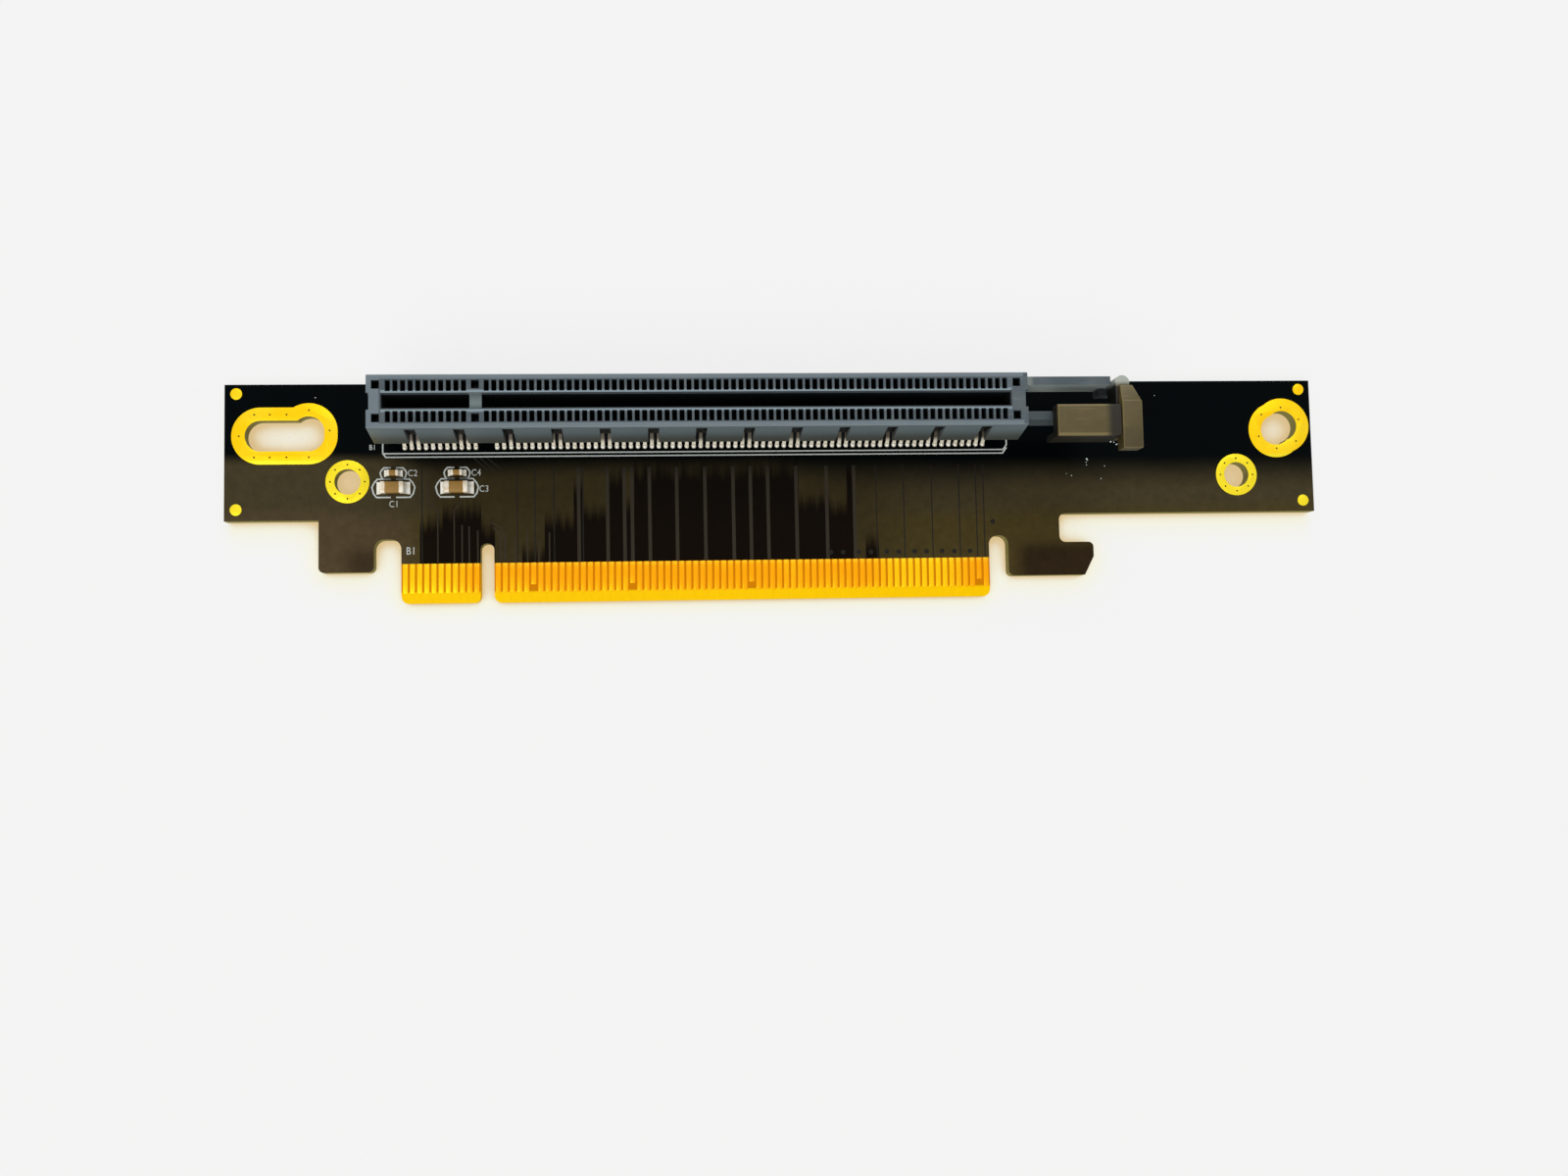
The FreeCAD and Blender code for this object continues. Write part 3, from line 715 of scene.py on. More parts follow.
legTones = {
    "foot": tone(228, 220, 198),
    "inside": tone(48, 42, 32),
    "dull": tone(130, 114, 84),
    # distances from the slot's middle plane over which a leg darkens, as painted shade
    "darker": (3.75 * mm, 2.9 * mm),
}


def legFinish():
    # plated legs: bright at the foot, brown and dark where they go in under the moulding, the dark being
    # painted shade
    finish = Finish("legFinish", Specular_IOR_Level=0.4, IOR=1.5)
    spot = finish.place()
    y = finish.axes(spot)[1]
    # painted shade: darker inwards under the moulding
    inward = (y - slotMiddle).size().ramp(*legTones["darker"])
    fine = finish.noise(spot, metalLooks["fine"], 2.0)
    finish.feed(
        Base_Color=finish.coats(legTones["foot"], (inward, legTones["inside"]), (fine * 0.2, legTones["dull"])),
        Roughness=0.3 + fine * 0.15,
        Metallic=0.25 + fine * 0.1,
        Normal=finish.bump(fine, 0.006 * mm, 0.6),
    )
    return finish.material


def plasticTones(paint):
    return [paint[name] for name in ("body", "wornAndHighlight", "dusty")]


finishes = {
    "mask": maskFinish(),
    "trace": traceFinish(),
    "gold": goldFinish("goldFinish", *goldLooks["finger"]),
    "land": goldFinish("landFinish", *goldLooks["land"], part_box("left_hole_ring")[1].y),
    "slot": plasticFinish("slotPlastic", *plasticTones(slotPaint), 0.42, 0.12 * mm, slotLightAndShade),
    "latch": plasticFinish("latchPlastic", *plasticTones(latchPaint), 0.44, 0.14 * mm, latchLightAndShade),
    "leg": legFinish(),
    "tin": metalFinish("tinFinish", *metalLooks["tin"], 0.3, 0.1),
    "solder": metalFinish("solderFinish", *metalLooks["solder"], 0.22, 0.08),
    "ceramic": ceramicFinish(),
    "ink": inkFinish(),
    "dark": darkFinish(),
}
print("finishes made,", len(finishes))


def addObject(name, data):
    made = bpy.data.objects.new(name, data)
    bpy.context.scene.collection.objects.link(made)
    return made


def meshData(name, mesh, materials):
    data = bpy.data.meshes.new(name)
    mesh.to_mesh(data)
    mesh.free()
    for material in materials:
        data.materials.append(material)
    return data


def addPiece(name, mesh, finish, body="card", nodes=(), sharp=32, extra=()):
    # turn a bmesh into a shown piece at the origin, riding on a body; edges over sharp degrees stay hard
    for f in mesh.faces:
        f.smooth = True
    for e in mesh.edges:
        e.smooth = e.is_manifold and e.calc_face_angle(0) < math.radians(sharp)
    piece = addObject(name, meshData(name, mesh, [finishes[each] for each in (finish, *extra)]))
    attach(piece, body)
    if nodes:
        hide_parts(*nodes)


meshing = {
    "join": 0.002 * mm,
    "cut": 0.001 * mm,
    "flat": math.radians(0.5),  # faces this near to one plane become one
    "sharp": math.radians(28),  # edges over this are rounded
}


def softened(node, width, segments=2, chosen=None):
    # a CAD node's mesh, joined and with its flat faces made whole, with its sharp outer edges rounded
    mesh = bmesh.new()
    mesh.from_mesh(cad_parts[node].data)
    bmesh.ops.remove_doubles(mesh, verts=mesh.verts, dist=meshing["join"])
    bmesh.ops.dissolve_limit(mesh, angle_limit=meshing["flat"], verts=mesh.verts, edges=mesh.edges)
    outer = [e for e in mesh.edges if e.is_manifold and e.is_convex and e.calc_face_angle(0) > meshing["sharp"]]
    bmesh.ops.bevel(
        mesh,
        geom=[e for e in outer if not chosen or chosen(e)],
        affect="EDGES",
        offset=width,
        offset_type="OFFSET",
        segments=segments,
        profile=0.5,
        material=-1,
        clamp_overlap=not chosen,
    )
    return mesh


def addMoved(mesh, target, shift):
    # add a moved copy of a small mesh to a larger one
    data = bpy.data.meshes.new("copySource")
    mesh.to_mesh(data)
    before = len(target.verts)
    target.from_mesh(data)
    target.verts.ensure_lookup_table()
    bmesh.ops.translate(target, verts=target.verts[before:], vec=shift)
    bpy.data.meshes.remove(data)


def rowOf(mesh, shifts):
    target = bmesh.new()
    for shift in shifts:
        addMoved(mesh, target, shift)
    mesh.free()
    return target


def discMesh(radius, sides, height):
    # a low round plate on the plane z = 0
    mesh = bmesh.new()
    bmesh.ops.create_circle(mesh, cap_ends=True, radius=radius, segments=sides)
    crown = bmesh.ops.extrude_face_region(mesh, geom=mesh.faces[:])
    top = [v for v in crown["geom"] if isinstance(v, bmesh.types.BMVert)]
    bmesh.ops.translate(mesh, verts=top, vec=(0, 0, height))
    return mesh


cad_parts["circuit_board"].data.materials.clear()
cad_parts["circuit_board"].data.materials.append(finishes["mask"])

copperLooks = {"landEdge": 0.016 * mm, "fingerEdge": 0.02 * mm}

for side in ("front", "back"):
    mesh = softened(f"edge_fingers_{side}", copperLooks["fingerEdge"])
    addPiece(f"fingers_{side}", mesh, "gold", nodes=[f"edge_fingers_{side}"])

for node in ("keyhole_ring", "left_hole_ring", "right_hole_ring", "double_hole_ring"):
    mesh = softened(node, copperLooks["landEdge"])
    addPiece(node.replace("_ring", "_land"), mesh, "land", nodes=[node], sharp=50)


fiducial = {"radius": 0.82 * mm, "height": 0.04 * mm, "edge": 0.024 * mm, "sides": 32}


def fiducialTargets():
    low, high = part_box("fiducial_pads")
    radius = fiducial["radius"]
    mesh = discMesh(radius, fiducial["sides"], fiducial["height"])
    rim = [e for e in mesh.edges if all(v.co.z > fiducial["height"] / 2 for v in e.verts)]
    bmesh.ops.bevel(
        mesh, geom=rim, affect="EDGES", offset=fiducial["edge"], segments=2, profile=0.5, material=-1
    )
    bmesh.ops.recalc_face_normals(mesh, faces=mesh.faces)
    ends = (low.x + radius, high.x - radius)
    sides = (low.y + radius, high.y - radius)
    return rowOf(mesh, [(x, y, low.z) for x in ends for y in sides])


addPiece("fiducials", fiducialTargets(), "land", nodes=["fiducial_pads"], sharp=50)


viaLooks = {
    "rim": 0.2 * mm,
    "hole": 0.13 * mm,
    "rise": 0.012 * mm,
    "sunk": 0.7,  # share of the rise
    "sides": 12,
    # round the small holes and the double one: how many, the first one's angle, radius
    "small": (8, 0, 2.42 * mm),
    "double": (6, 82, 3.2 * mm),
    "doubleSwell": 0.14 * mm,
    # along the keyhole's straight walls, from its left end's centre
    "keyholeWall": 3.05 * mm,
    "keyholeRow": (-0.9 * mm, 1.28 * mm, 3.6 * mm),
    # and round its ends: from the right end's centre, and from the left one's
    "keyholeRight": ((0.05 * mm, -3.05 * mm), (0.05 * mm, 3.67 * mm), (2.95 * mm, 0.75 * mm)),
    "keyholeLeft": -3.0 * mm,
}


def viaMesh(rim, hole):
    # a raised rim with a sunken dark middle, painted shade standing in for the hole
    mesh = discMesh(rim, viaLooks["sides"], viaLooks["rise"])
    cap = max(mesh.faces, key=lambda f: f.calc_center_median().z)
    bmesh.ops.inset_region(mesh, faces=[cap], thickness=rim - hole)
    cap.material_index = 1
    bmesh.ops.translate(mesh, verts=cap.verts[:], vec=(0, 0, -viaLooks["rise"] * viaLooks["sunk"]))
    bmesh.ops.recalc_face_normals(mesh, faces=mesh.faces)
    return mesh


def ringVias():
    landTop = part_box("left_hole_ring")[1].z
    places = []

    def circle(node, count, first, radius, swell=0.0):
        low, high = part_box(node)
        middle = (low + high) / 2
        for step in range(count):
            turn = math.radians(first + 360 / count * step)
            reach = radius + swell * math.cos(2 * turn)
            places.append((middle.x + reach * math.cos(turn), middle.y + reach * math.sin(turn), landTop))

    circle("left_hole_ring", *viaLooks["small"])
    circle("right_hole_ring", *viaLooks["small"])
    circle("double_hole_ring", *viaLooks["double"], viaLooks["doubleSwell"])
    low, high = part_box("keyhole_ring")
    brim = landLooks["largeBrim"]
    axis = low.y + brim
    leftEnd = low.x + brim
    rightEnd = high.x - brim
    for x in viaLooks["keyholeRow"]:
        places += [(leftEnd + x, axis + side * viaLooks["keyholeWall"], landTop) for side in (1, -1)]
    places += [(rightEnd + x, axis + y, landTop) for x, y in viaLooks["keyholeRight"]]
    places.append((leftEnd + viaLooks["keyholeLeft"], axis, landTop))
    return places


addPiece(
    "land_vias",
    rowOf(viaMesh(viaLooks["rim"], viaLooks["hole"]), ringVias()),
    "land",
    extra=["dark"],
)

maskVias = {
    "rim": 0.34 * mm,
    "hole": 0.2 * mm,
    "rowStart": 60.5 * mm,
    "rowPair": (1.75 * mm, -0.03 * mm),
    "rowStep": 4.05 * mm,
    "pairs": 5,
    "rowRise": 1.0 * mm,
    "afterRow": 2.3 * mm,
    "besideNotch": (0.86 * mm, 5.22 * mm),
}


def coveredVias():
    # a row of pairs just above the last fingers, one more after them, and one beside the right notch
    places = []
    acrossPair, upPair = maskVias["rowPair"]
    for pair in range(maskVias["pairs"]):
        x = firstContact + maskVias["rowStart"] + maskVias["rowStep"] * pair
        y = fingersHigh.y + maskVias["rowRise"]
        places += [(x, y, boardFace), (x + acrossPair, y + upPair, boardFace)]
    places.append((places[-1][0] + maskVias["afterRow"], places[-1][1], boardFace))
    right, up = maskVias["besideNotch"]
    places.append((fingersHigh.x + right, fingersHigh.y + up, boardFace))
    return places


addPiece(
    "mask_vias",
    rowOf(viaMesh(maskVias["rim"], maskVias["hole"]), coveredVias()),
    "dark",
    extra=["dark"],
)
print("board, fingers and lands done")


def hollowUnder(mesh):
    # push the core's two faces inwards under the skirt, leaving a rim all round
    end = slotLooks["hollowEnd"]
    low = Vector((housingLow.x + end, 0, boardFace + slotLooks["hollowLow"]))
    high = Vector((housingLow.x + slotLooks["blockLength"] - end, 0, boardFace + slotLooks["hollowHigh"]))

    def onCore(face):
        offSlot = abs(face.calc_center_median().y - slotMiddle)
        return abs(offSlot - slotLooks["coreFace"]) < 0.02 * mm and abs(face.normal.y) > 0.9

    for place, direction in ((low, (1, 0, 0)), (high, (1, 0, 0)), (low, (0, 0, 1)), (high, (0, 0, 1))):
        wall = [f for f in mesh.faces if onCore(f)]
        corners = dict.fromkeys(v for f in wall for v in f.verts)
        parts = [*wall, *dict.fromkeys(e for f in wall for e in f.edges), *corners]
        bmesh.ops.bisect_plane(mesh, geom=parts, plane_co=place, plane_no=direction, dist=meshing["cut"])
    for side in (-1, 1):
        panel = []
        for f in mesh.faces:
            middle = f.calc_center_median()
            within = low.x < middle.x < high.x and low.z < middle.z < high.z
            if within and onCore(f) and (middle.y - slotMiddle) * side > 0:
                panel.append(f)
        made = bmesh.ops.extrude_face_region(mesh, geom=panel)
        moved = [g for g in made["geom"] if isinstance(g, bmesh.types.BMVert)]
        bmesh.ops.translate(mesh, verts=moved, vec=(0, -side * slotLooks["hollow"], 0))
        bmesh.ops.delete(mesh, geom=[f for f in panel if f.is_valid], context="FACES_ONLY")


# which of the slot's edges are rounded: reach from the slot's middle and shortest length
slotEdges = {"mouth": (1.0 * mm, 1.0 * mm), "outside": (3.2 * mm, 0.45 * mm)}


def housingMesh():
    # outer edges and the mouth are rounded, the depths of the pockets stay sharp
    top = housingHigh.z

    def outer(edge):
        ends = [v.co for v in edge.verts]
        atTop = all(abs(p.z - top) < 0.01 * mm for p in ends)
        offSlot = abs((ends[0].y + ends[1].y) / 2 - slotMiddle)
        reach, shortest = slotEdges["mouth" if atTop else "outside"]
        inReach = offSlot < reach if atTop else offSlot > reach
        return inReach and edge.calc_length() > shortest

    mesh = softened("slot_housing", slotLooks["edge"], 2, outer)
    hollowUnder(mesh)
    return mesh


addPiece("slot_shell", housingMesh(), "slot", nodes=["slot_housing"])

tailLooks = {
    "thickness": 0.16 * mm,
    # distance out from the core and height over the board, from the foot inwards
    "line": ((0.9, 0.17), (0.58, 0.17), (0.34, 0.34), (0.05, 0.62), (-0.45, 0.86), (-1.2, 1.1)),
    "joint": (0.34 * mm, 0.4 * mm, 0.34 * mm),
    "jointRounds": (12, 8),
    "jointReach": 0.54 * mm,
}


def coreFace(side):
    return tailsHigh.y if side < 0 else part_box("slot_contacts_back")[0].y


def tailMesh(side):
    # a leg that runs out from the hollow and bends down to its foot; side is -1 towards the fingers
    core = coreFace(side)
    half = contacts["tailWidth"] / 2
    mesh = bmesh.new()
    points = [(core + side * out * mm, boardFace + up * mm) for out, up in tailLooks["line"]]
    ends = [mesh.verts.new((x, *points[0])) for x in (-half, half)]
    edge = mesh.edges.new(ends)
    for before, after in zip(points, points[1:]):
        made = bmesh.ops.extrude_edge_only(mesh, edges=[edge])
        tip = [g for g in made["geom"] if isinstance(g, bmesh.types.BMVert)]
        edge = next(g for g in made["geom"] if isinstance(g, bmesh.types.BMEdge))
        bmesh.ops.translate(mesh, verts=tip, vec=(0, after[0] - before[0], after[1] - before[1]))
    bmesh.ops.recalc_face_normals(mesh, faces=mesh.faces)
    if sum(f.normal.z for f in mesh.faces) < 0:
        bmesh.ops.reverse_faces(mesh, faces=mesh.faces)
    bmesh.ops.solidify(mesh, geom=mesh.faces[:], thickness=tailLooks["thickness"])
    bmesh.ops.recalc_face_normals(mesh, faces=mesh.faces)
    return mesh


def jointMesh(side):
    # solder heaped over a foot: the upper half of a squashed ball
    mesh = bmesh.new()
    place = Vector((0, coreFace(side) + side * tailLooks["jointReach"], boardFace))
    matrix = Matrix.Translation(place) @ Matrix.Diagonal((*tailLooks["joint"], 1))
    around, up = tailLooks["jointRounds"]
    bmesh.ops.create_uvsphere(mesh, u_segments=around, v_segments=up, radius=1, matrix=matrix)
    everything = mesh.verts[:] + mesh.edges[:] + mesh.faces[:]
    bmesh.ops.bisect_plane(
        mesh, geom=everything, dist=meshing["cut"], plane_co=place, plane_no=(0, 0, 1), clear_inner=True
    )
    rim = [e for e in mesh.edges if e.is_boundary]
    bmesh.ops.holes_fill(mesh, edges=rim, sides=0)
    return mesh


for name, side in (("front", -1), ("back", 1)):
    row = [(x, 0, 0) for x in contactPlaces()]
    tails = rowOf(tailMesh(side), row)
    addPiece(f"tails_{name}", tails, "leg", nodes=[f"slot_contacts_{name}"], sharp=40)
    addPiece(f"tail_joints_{name}", rowOf(jointMesh(side), row), "solder", sharp=70)
print("slot housing and tails done")


latchLooks = {"edge": 0.14 * mm, "segments": 3, "shortest": 0.5 * mm, "sharpest": 0.6}


def latchEdge(edge):
    return edge.calc_length() > latchLooks["shortest"] and edge.calc_face_angle(0) > latchLooks["sharpest"]


addPiece(
    "latch",
    softened("retention_latch", latchLooks["edge"], latchLooks["segments"], latchEdge),
    "latch",
    body="latch",
    nodes=["retention_latch"],
)
print("latch done")


capLooks = {
    "names": ("c1", "c2", "c3", "c4"),
    "ceramicEdge": 0.03 * mm,
    "cupEdge": 0.035 * mm,
    "shortest": 0.2 * mm,
    "largeFrom": 1.0 * mm,
    # the solder: its run out from a large and a small cap, its rise as a share, and how much it spreads
    "runs": {"large": 0.75 * mm, "small": 0.5 * mm},
    "rise": 0.7,
    "spread": 0.1 * mm,
    "curveSteps": 6,
}


def capBox(name):
    # a capacitor's box over its end caps, and which size it is
    low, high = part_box(f"terminals_{name}")
    return low, high, "large" if high.y - low.y > capLooks["largeFrom"] else "small"


def isLong(edge):
    return edge.calc_length() > capLooks["shortest"]


def filletMesh(low, high, outward):
    # a hollow-curved ramp of solder between the board and a cup's end
    run = high.x - low.x
    rise = high.z - low.z
    wall = low.x if outward > 0 else high.x
    middle = (low.y + high.y) / 2
    mesh = bmesh.new()
    edge = mesh.edges.new([mesh.verts.new((wall, y, high.z)) for y in (low.y, high.y)])
    bmesh.ops.spin(
        mesh,
        geom=[edge],
        cent=(wall + outward * run, 0, high.z),
        axis=(0, -outward, 0),
        dvec=(0, 0, 0),
        angle=math.radians(90),
        steps=capLooks["curveSteps"],
        use_merge=False,
    )
    for v in mesh.verts:
        v.co.z = high.z - (high.z - v.co.z) * rise / run
        slack = (v.co.x - wall) * outward / run
        v.co.y = middle + (v.co.y - middle) * (1 + 2 * capLooks["spread"] * slack / (high.y - low.y))
    made = bmesh.ops.extrude_face_region(mesh, geom=mesh.faces[:])
    for g in made["geom"]:
        if isinstance(g, bmesh.types.BMVert):
            g.co.z = low.z
    bmesh.ops.remove_doubles(mesh, verts=mesh.verts, dist=meshing["cut"])
    bmesh.ops.recalc_face_normals(mesh, faces=mesh.faces)
    return mesh


solder = bmesh.new()
for name in capLooks["names"]:
    addPiece(
        f"ceramic_{name}",
        softened(f"capacitor_{name}", capLooks["ceramicEdge"]),
        "ceramic",
        nodes=[f"capacitor_{name}"],
    )
    cups = softened(f"terminals_{name}", capLooks["cupEdge"], chosen=isLong)
    addPiece(f"cups_{name}", cups, "tin", nodes=[f"terminals_{name}"], sharp=40)
    low, high, size = capBox(name)
    run = capLooks["runs"][size]
    solderTop = low.z + (high.z - low.z) * capLooks["rise"]
    for outward, x in ((-1, low.x - run), (1, high.x)):
        fillet = filletMesh(Vector((x, low.y, low.z)), Vector((x + run, high.y, solderTop)), outward)
        addMoved(fillet, solder, (0, 0, 0))
        fillet.free()
addPiece("solder_fillets", solder, "solder", nodes=["capacitor_solder"], sharp=50)
print("capacitors done")


runs = {
    "rise": 0.01 * mm,
    "top": 3.5,
    "wide": 0.5,
    "fine": 0.2,
    "gap": 0.16,
    # pairs that go straight down from the slot to the fingers, in mm from the middle of the card
    "straight": (-29.1, -25.0, -22.6, -21.5, -19.0, -15.1, -11.05, -7.0, -4.5, -2.0, 2.1, 6.5, 10.5),
    # single ones that start lower down: place and start
    "short": (
        (-45.6, -4.6), (-44.6, -4.8), (-43.4, -5.4), (-38.2, -6.2), (-36.4, -5.4), (-34.8, -6.8), (-33.3, -5.8),
    ),
    "bent": (
        ((-50.3, 1.6), (-50.3, -1.2), (-49.0, -2.7), (-49.0, -9.9)),
        ((-45.6, -1.2), (-46.7, -2.5), (-46.7, -9.9)),
        ((-43.9, 5.0), (-41.9, 3.2)),
        ((-43.0, 5.0), (-41.0, 3.1)),
        ((-42.0, 5.0), (-40.0, 3.3)),
        ((-41.6, -4.2), (-40.2, -5.0), (-39.6, -6.2), (-39.6, -9.8)),
        ((-41.2, -5.0), (-40.6, -5.6), (-40.2, -6.6), (-40.2, -9.8)),
    ),
    # dark lines between two sheets of copper
    "gaps": (-51.2, -37.8, -35.3, -32.6, -28.5, 13.7, 17.7, 21.8, 25.8, 28.3, 29.4),
}

ink = {
    "line": 0.21 * mm,
    "capLine": 0.22 * mm,
    "height": 0.012 * mm,
    "letter": 1.32 * mm,
    "narrow": 0.84,
    "spaced": 1.08,
    # letters beside the capacitors, in mm from the right end's lower corner, or for C1 from its middle
    "words": {"C1": (-0.62, -1.9), "C2": (1.2, 0.0), "C3": (1.5, 0.2), "C4": (1.2, 0.0)},
    # by the first contact of the fingers and of the slot: offset in mm, share of the letters' height
    "firstFinger": (0.1, 1.35, 1.15),
    "firstSlot": (-2.2, 0.55, 0.8),
    # plain ticks between the arms, one for each step of the latch's travel: start and length in mm
    "ticks": ((36.6, 1.5), (38.9, 0.9), (41.2, 0.6)),
    "tickDrop": 0.35 * mm,
    # half of a cap's outline: share of the bow inwards, and height over its middle as a share of the half
    "bow": ((1, 1), (0.35, 0.55), (0, 0.1), (0.3, -0.6), (0.85, -1)),
    "bowGap": 0.36 * mm,
    # reach round a large and a small cap, and how far the bow comes in
    "capReach": {"large": (1.4 * mm, 0.5 * mm), "small": (1.04 * mm, 0.4 * mm)},
    "bowDepth": {"large": 0.75 * mm, "small": 0.5 * mm},
}

# the two lines round the slot: their distance from the housing, and the cuts at the corners
slotFrame = {
    "left": 0.28 * mm,
    "right": 0.4 * mm,
    "near": 0.1 * mm,
    "outer": 0.52 * mm,
    "farCut": 0.4 * mm,
    "leftCut": (0.12 * mm, 0.1 * mm),
    "rightCut": (0.5 * mm, 0.7 * mm),
    "outerLeftCut": (0.42 * mm, 0.05 * mm),
    "outerRightCut": (0.6 * mm, 0.3 * mm),
}


def asMesh(curve, x=0, y=0, scale=(1, 1, 1)):
    # a curve's mesh, scaled and then laid on the board's face
    holder = bpy.data.objects.new(curve.name, curve)
    data = bpy.data.meshes.new_from_object(holder)
    bpy.data.objects.remove(holder)
    data.transform(Matrix.Translation((x, y, boardFace)) @ Matrix.Diagonal((*scale, 1)))
    return data


def inkPath(points, width, rise=ink["height"]):
    # a flat stroke through plan points
    curve = bpy.data.curves.new("stroke", "CURVE")
    curve.dimensions = "3D"
    curve.bevel_depth = width / 2
    curve.bevel_resolution = 1
    curve.use_fill_caps = True
    spline = curve.splines.new("POLY")
    spline.points.add(len(points) - 1)
    for knot, (x, y) in zip(spline.points, points):
        knot.co = (x, y, 0, 1)
    return asMesh(curve, scale=(1, 1, rise * 2 / width))


def inkWord(text, x, y, size):
    # letters whose lower left corner is at x, y
    curve = bpy.data.curves.new("word", "FONT")
    curve.body = text
    curve.size = size
    curve.space_character = ink["spaced"]
    curve.extrude = ink["height"]
    curve.resolution_u = 4
    return asMesh(curve, x, y, (ink["narrow"], 1, 1))


def addRuns():
    end = fingersHigh.y / mm + 0.05
    lines = [([(x, runs["top"]), (x, end)], runs["wide"]) for x in runs["straight"]]
    lines += [([(x, top), (x, end)], runs["fine"]) for x, top in runs["short"]]
    lines += [(points, runs["fine"]) for points in runs["bent"]]
    gaps = [([(x, runs["top"]), (x, end)], runs["gap"]) for x in runs["gaps"]]
    for name, finish, group in (("trace_runs", "trace", lines), ("trace_gaps", "dark", gaps)):
        mesh = bmesh.new()
        for points, width in group:
            data = inkPath([(x * mm, y * mm) for x, y in points], width * mm, runs["rise"])
            mesh.from_mesh(data)
            bpy.data.meshes.remove(data)
        addPiece(name, mesh, finish)


addRuns()


def capOutline(low, high, size, side):
    # half of a cap's outline: from the break in one long side round its bowed end to the other
    reachX, reachY = ink["capReach"][size]
    middle = (low + high) / 2
    half = (high.y - low.y) / 2 + reachY
    end = high.x + reachX if side > 0 else low.x - reachX
    inward = side * ink["bowDepth"][size]
    bow = [(end - inward * share, middle.y + half * up) for share, up in ink["bow"]]
    gap = middle.x + side * ink["bowGap"]
    return [(gap, middle.y + half), *bow, (gap, middle.y - half)]


def slotLines():
    # an inner line on three sides and a part of the fourth, and an outer one along the near side
    left = housingLow.x - slotFrame["left"]
    right = housingLow.x + slotLooks["blockLength"] + slotFrame["right"]
    near = housingLow.y - slotFrame["near"]
    far = 2 * slotMiddle - near
    outer = near - slotFrame["outer"]
    cut = slotFrame["farCut"]
    leftX, leftY = slotFrame["leftCut"]
    rightX, rightY = slotFrame["rightCut"]
    inner = [(left + cut, far), (left, far - cut), (left, near + leftY), (left + leftX, near)]
    inner += [(right - rightX, near), (right, near + rightY), (right, far)]
    leftX, leftY = slotFrame["outerLeftCut"]
    rightX, rightY = slotFrame["outerRightCut"]
    outside = [(left, near + leftY), (left + leftX, outer), (right - rightX, outer), (right, near + rightY)]
    return inner, outside


def printedMarks():
    mesh = bmesh.new()

    def add(data):
        mesh.from_mesh(data)
        bpy.data.meshes.remove(data)

    for line in slotLines():
        add(inkPath(line, ink["line"]))
    for name in capLooks["names"]:
        for side in (-1, 1):
            add(inkPath(capOutline(*capBox(name), side), ink["capLine"]))
    for word, (right, up) in ink["words"].items():
        low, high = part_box(f"terminals_{word.lower()}")
        start = (low.x + high.x) / 2 if word == "C1" else high.x
        add(inkWord(word, start + right * mm, low.y + up * mm, ink["letter"]))
    slotCorner = (housingLow.x, housingLow.y - slotFrame["near"])
    for place, corner in (("firstFinger", (firstContact, fingersHigh.y)), ("firstSlot", slotCorner)):
        right, up, share = ink[place]
        add(inkWord("B1", corner[0] + right * mm, corner[1] + up * mm, ink["letter"] * share))
    tickY = slotMiddle - ink["tickDrop"]
    for x, length in ink["ticks"]:
        add(inkPath([(x * mm, tickY), ((x + length) * mm, tickY)], ink["line"]))
    return mesh


addPiece("printed_marks", printedMarks(), "ink")
print("printed marks done")


dust = {
    "size": (0.05 * mm, 0.13 * mm),
    "stretch": (0.8, 2.2),
    "flat": 0.3,
    # clusters: centre in mm, spread, how many
    "clusters": (((45.0, 1.6), 2.4, 7), ((49.2, 6.6), 0.5, 4), ((55.0, 12.0), 3.0, 3), ((-66.0, 12.5), 4.0, 3)),
}


def dustSpecks():
    mesh = bmesh.new()
    for centre, spread, count in dust["clusters"]:
        for _ in range(count):
            size = chance.uniform(*dust["size"])
            x, y = centre[0] + chance.gauss(0, spread), centre[1] + chance.gauss(0, spread / 2)
            place = Vector((x * mm, y * mm, boardFace))
            if not boardLow.y * 0.1 < place.y < boardHigh.y - mm:
                continue  # off the board
            speck = bmesh.new()
            bmesh.ops.create_icosphere(speck, subdivisions=1, radius=size)
            stretch = Matrix.Diagonal((chance.uniform(*dust["stretch"]), 1, dust["flat"], 1))
            turn = Matrix.Rotation(chance.uniform(0, math.pi), 4, "Z")
            bmesh.ops.transform(speck, matrix=turn @ stretch, verts=speck.verts)
            addMoved(speck, mesh, place)
            speck.free()
    return mesh


addPiece("dust_specks", dustSpecks(), "ink")
print("dust done")


stageLooks = {
    "paper": 0.85,
    "seen": 0.896,
    "size": 6.0,
    "drop": 0.02 * mm,
    "sky": 0.45,
    "skyColour": (0.97, 0.985, 1.0, 1),
    "shadowShare": 0.1,
    "fibre": 1.5 * mm,
    # painted warm shade and painted pale halo close under the card's edges
    "contact": tone(222, 192, 136),
    "halo": tone(246, 244, 224),
    # openness of the paper to the sky over which the painted halo of light and the painted warm shade come in
    "haloSpan": (0.99, 0.84),
    "warmUnderHoles": (0.84, 0.6),
    "warmElsewhere": (0.74, 0.46),
    "holesAbove": -3.6 * mm,
    "contactReach": 5.0 * mm,
    "farInset": 0.3 * mm,
    "endFade": 1.0 * mm,
}


class Sky(Finish):  # the same nodes on the world
    def __init__(self, world):
        world.use_nodes = True
        self.tree = world.node_tree
        self.shader = self.tree.nodes["Background"]


def seenRays(finish):
    # 1 for the rays that show the backdrop itself: to the camera, or by way of gloss or glass
    path = finish.node("ShaderNodeLightPath", output="Is Camera Ray")
    outputs = path.socket.node.outputs
    return path.most(Wire(finish, outputs["Is Glossy Ray"])).most(Wire(finish, outputs["Is Transmission Ray"]))


def grey(level):
    return (level, level, level, 1)


def dimmed(colour, share):
    return (*[part * share for part in colour[:3]], 1)


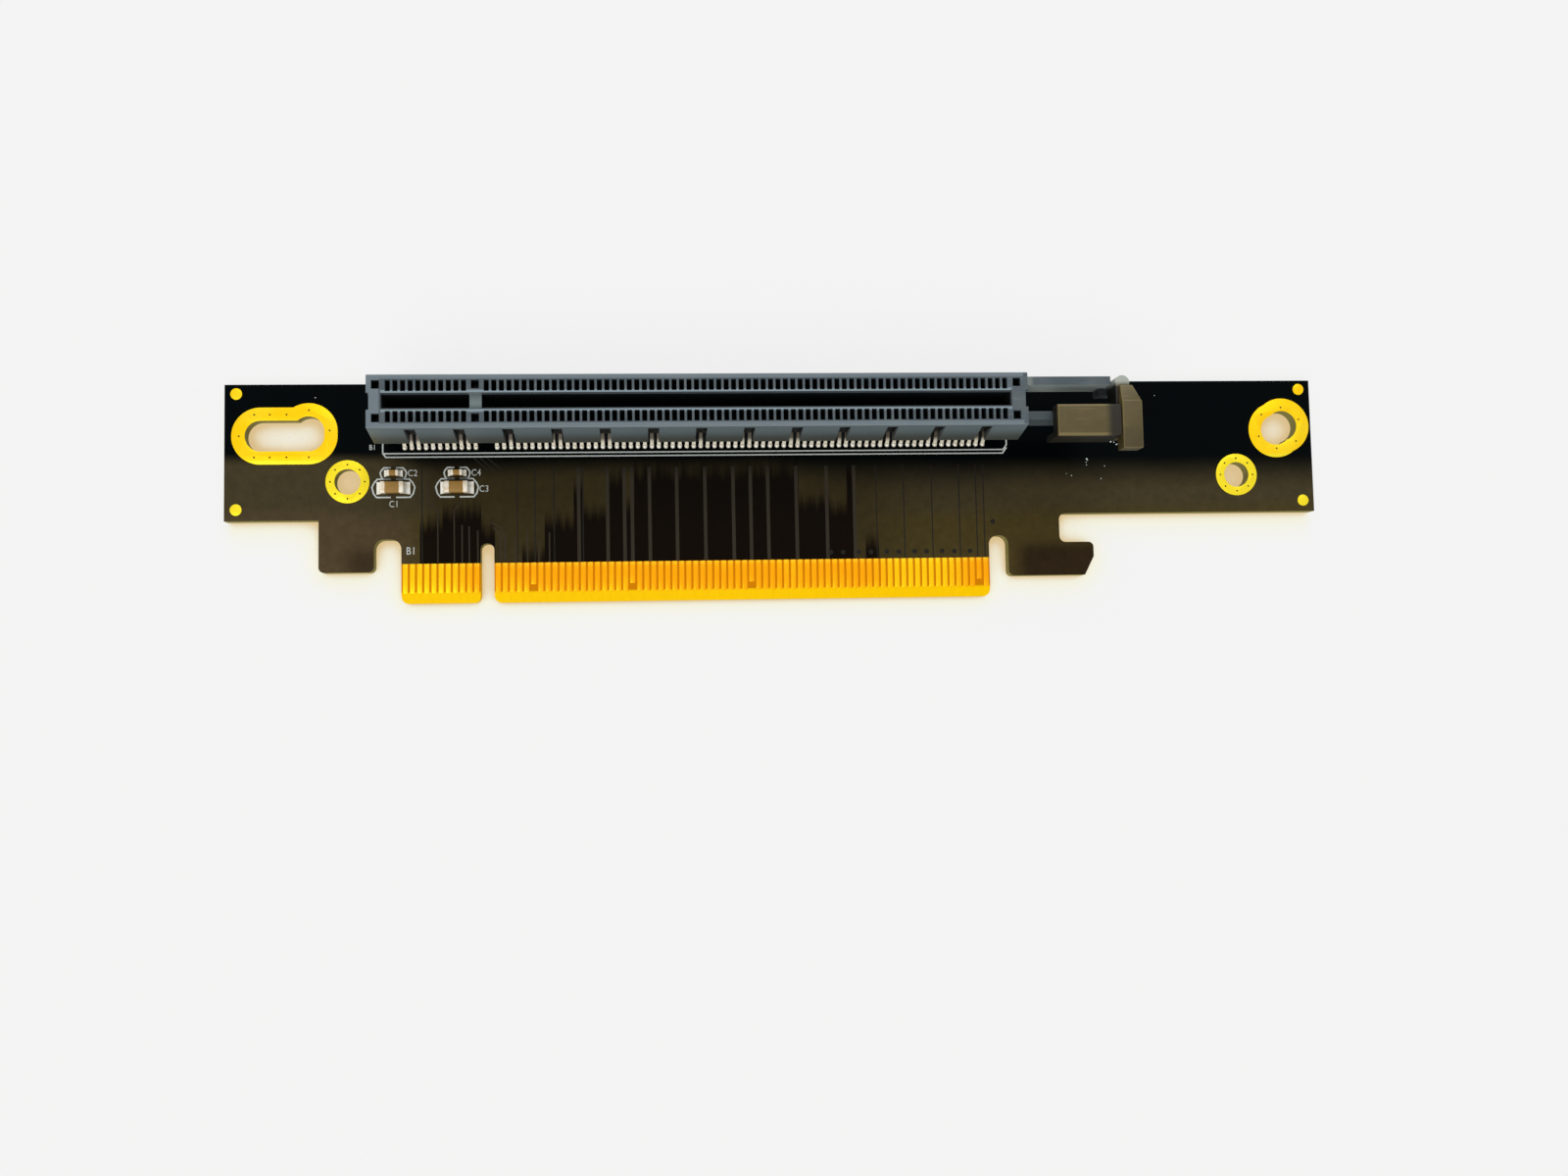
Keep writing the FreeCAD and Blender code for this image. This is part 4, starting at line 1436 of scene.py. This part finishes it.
def paperFinish():
    # the paper shows flat and pale, with its shadow, and close under the card's edges a painted pale halo and a
    # painted warm shade
    looks = stageLooks
    finish = Finish("paperFloor", Roughness=0.9, Specular_IOR_Level=0.0, Emission_Strength=1.0)
    spot = finish.place()
    x, y = finish.axes(spot)[:2]
    fibre = finish.noise(spot, looks["fibre"], 3.0)
    seen = seenRays(finish)
    reach = {"Distance": looks["contactReach"]}
    near = finish.node("ShaderNodeAmbientOcclusion", {"samples": 8}, reach, output="AO")
    withinEnds = x.size().ramp(boardHigh.x + looks["endFade"], boardHigh.x - looks["endFade"])
    beside = (y < boardHigh.y - looks["farInset"]) * withinEnds
    underHoles = y > looks["holesAbove"]
    warmUnder = underHoles * near.ramp(*looks["warmUnderHoles"])
    warmElse = (1 - underHoles) * near.ramp(*looks["warmElsewhere"])
    lit = 1 - looks["shadowShare"]  # the rest of the paper's tone is lit by the lamps, so it keeps the shadow
    pale = looks["seen"] * lit
    # painted halo and painted warm shade from the occlusion near the card
    shown = finish.coats(
        finish.mix(fibre, grey(pale), (pale * 0.995, pale * 0.995, pale * 0.99, 1)),
        (near.ramp(*looks["haloSpan"]) * beside, dimmed(looks["halo"], lit)),
        ((warmUnder + warmElse) * beside, dimmed(looks["contact"], lit)),
    )
    finish.feed(
        Base_Color=finish.mix(seen, grey(looks["paper"]), grey(looks["seen"] * looks["shadowShare"])),
        Emission_Color=finish.mix(seen, grey(0), shown),
    )
    return finish.material


def addStage():
    mesh = bmesh.new()
    bmesh.ops.create_grid(mesh, x_segments=1, y_segments=1, size=stageLooks["size"])
    bmesh.ops.translate(mesh, verts=mesh.verts[:], vec=(0, 0, boardLow.z - stageLooks["drop"]))
    addObject("floor", meshData("floor", mesh, [paperFinish()]))


def addSky():
    world = bpy.data.worlds.new("studioSky")
    bpy.context.scene.world = world
    sky = Sky(world)
    sky.shader.inputs["Color"].default_value = stageLooks["skyColour"]
    sky.feed(Strength=seenRays(sky) * (stageLooks["seen"] - stageLooks["sky"]) + stageLooks["sky"])


# place, size, power and colour of each
lampLooks = {
    "windowLight": ((-0.25, -0.5, 0.7), (0.7, 0.5), 4.4, (1.0, 0.985, 0.96)),
    "ceilingLight": ((0.12, 0.75, 0.62), (0.7, 0.6), 4.6, (0.97, 0.985, 1.0)),
}


def addLamp(name, place, size, power, colour):
    # an area lamp that points at the card
    lamp = bpy.data.lights.new(name, "AREA")
    lamp.shape = "RECTANGLE"
    lamp.size, lamp.size_y = size
    lamp.energy = power
    lamp.color = colour
    holder = addObject(name, lamp)
    holder.location = place
    holder.rotation_euler = (-Vector(place)).to_track_quat("-Z", "Y").to_euler()


cameraLooks = {
    "place": (-20.03 * mm, -27.77 * mm, 165.9 * mm),
    "tilt": (3.2032, -2.8812, -0.9901),
    "lens": 26.557,
    "sensor": 36,
    "shift": (0.0514, 0.0210),
    "nearest": 5 * mm,
}


def addCamera():
    camera = bpy.data.cameras.new("camera")
    camera.sensor_width = cameraLooks["sensor"]
    camera.lens = cameraLooks["lens"]
    camera.shift_x, camera.shift_y = cameraLooks["shift"]
    camera.clip_start = cameraLooks["nearest"]
    holder = addObject("camera", camera)
    holder.location = cameraLooks["place"]
    holder.rotation_euler = [math.radians(turn) for turn in cameraLooks["tilt"]]
    bpy.context.scene.camera = holder


addStage()
addSky()
for name, looks in lampLooks.items():
    addLamp(name, *looks)
addCamera()
bpy.context.scene.view_settings.view_transform = "Standard"
print("stage done")
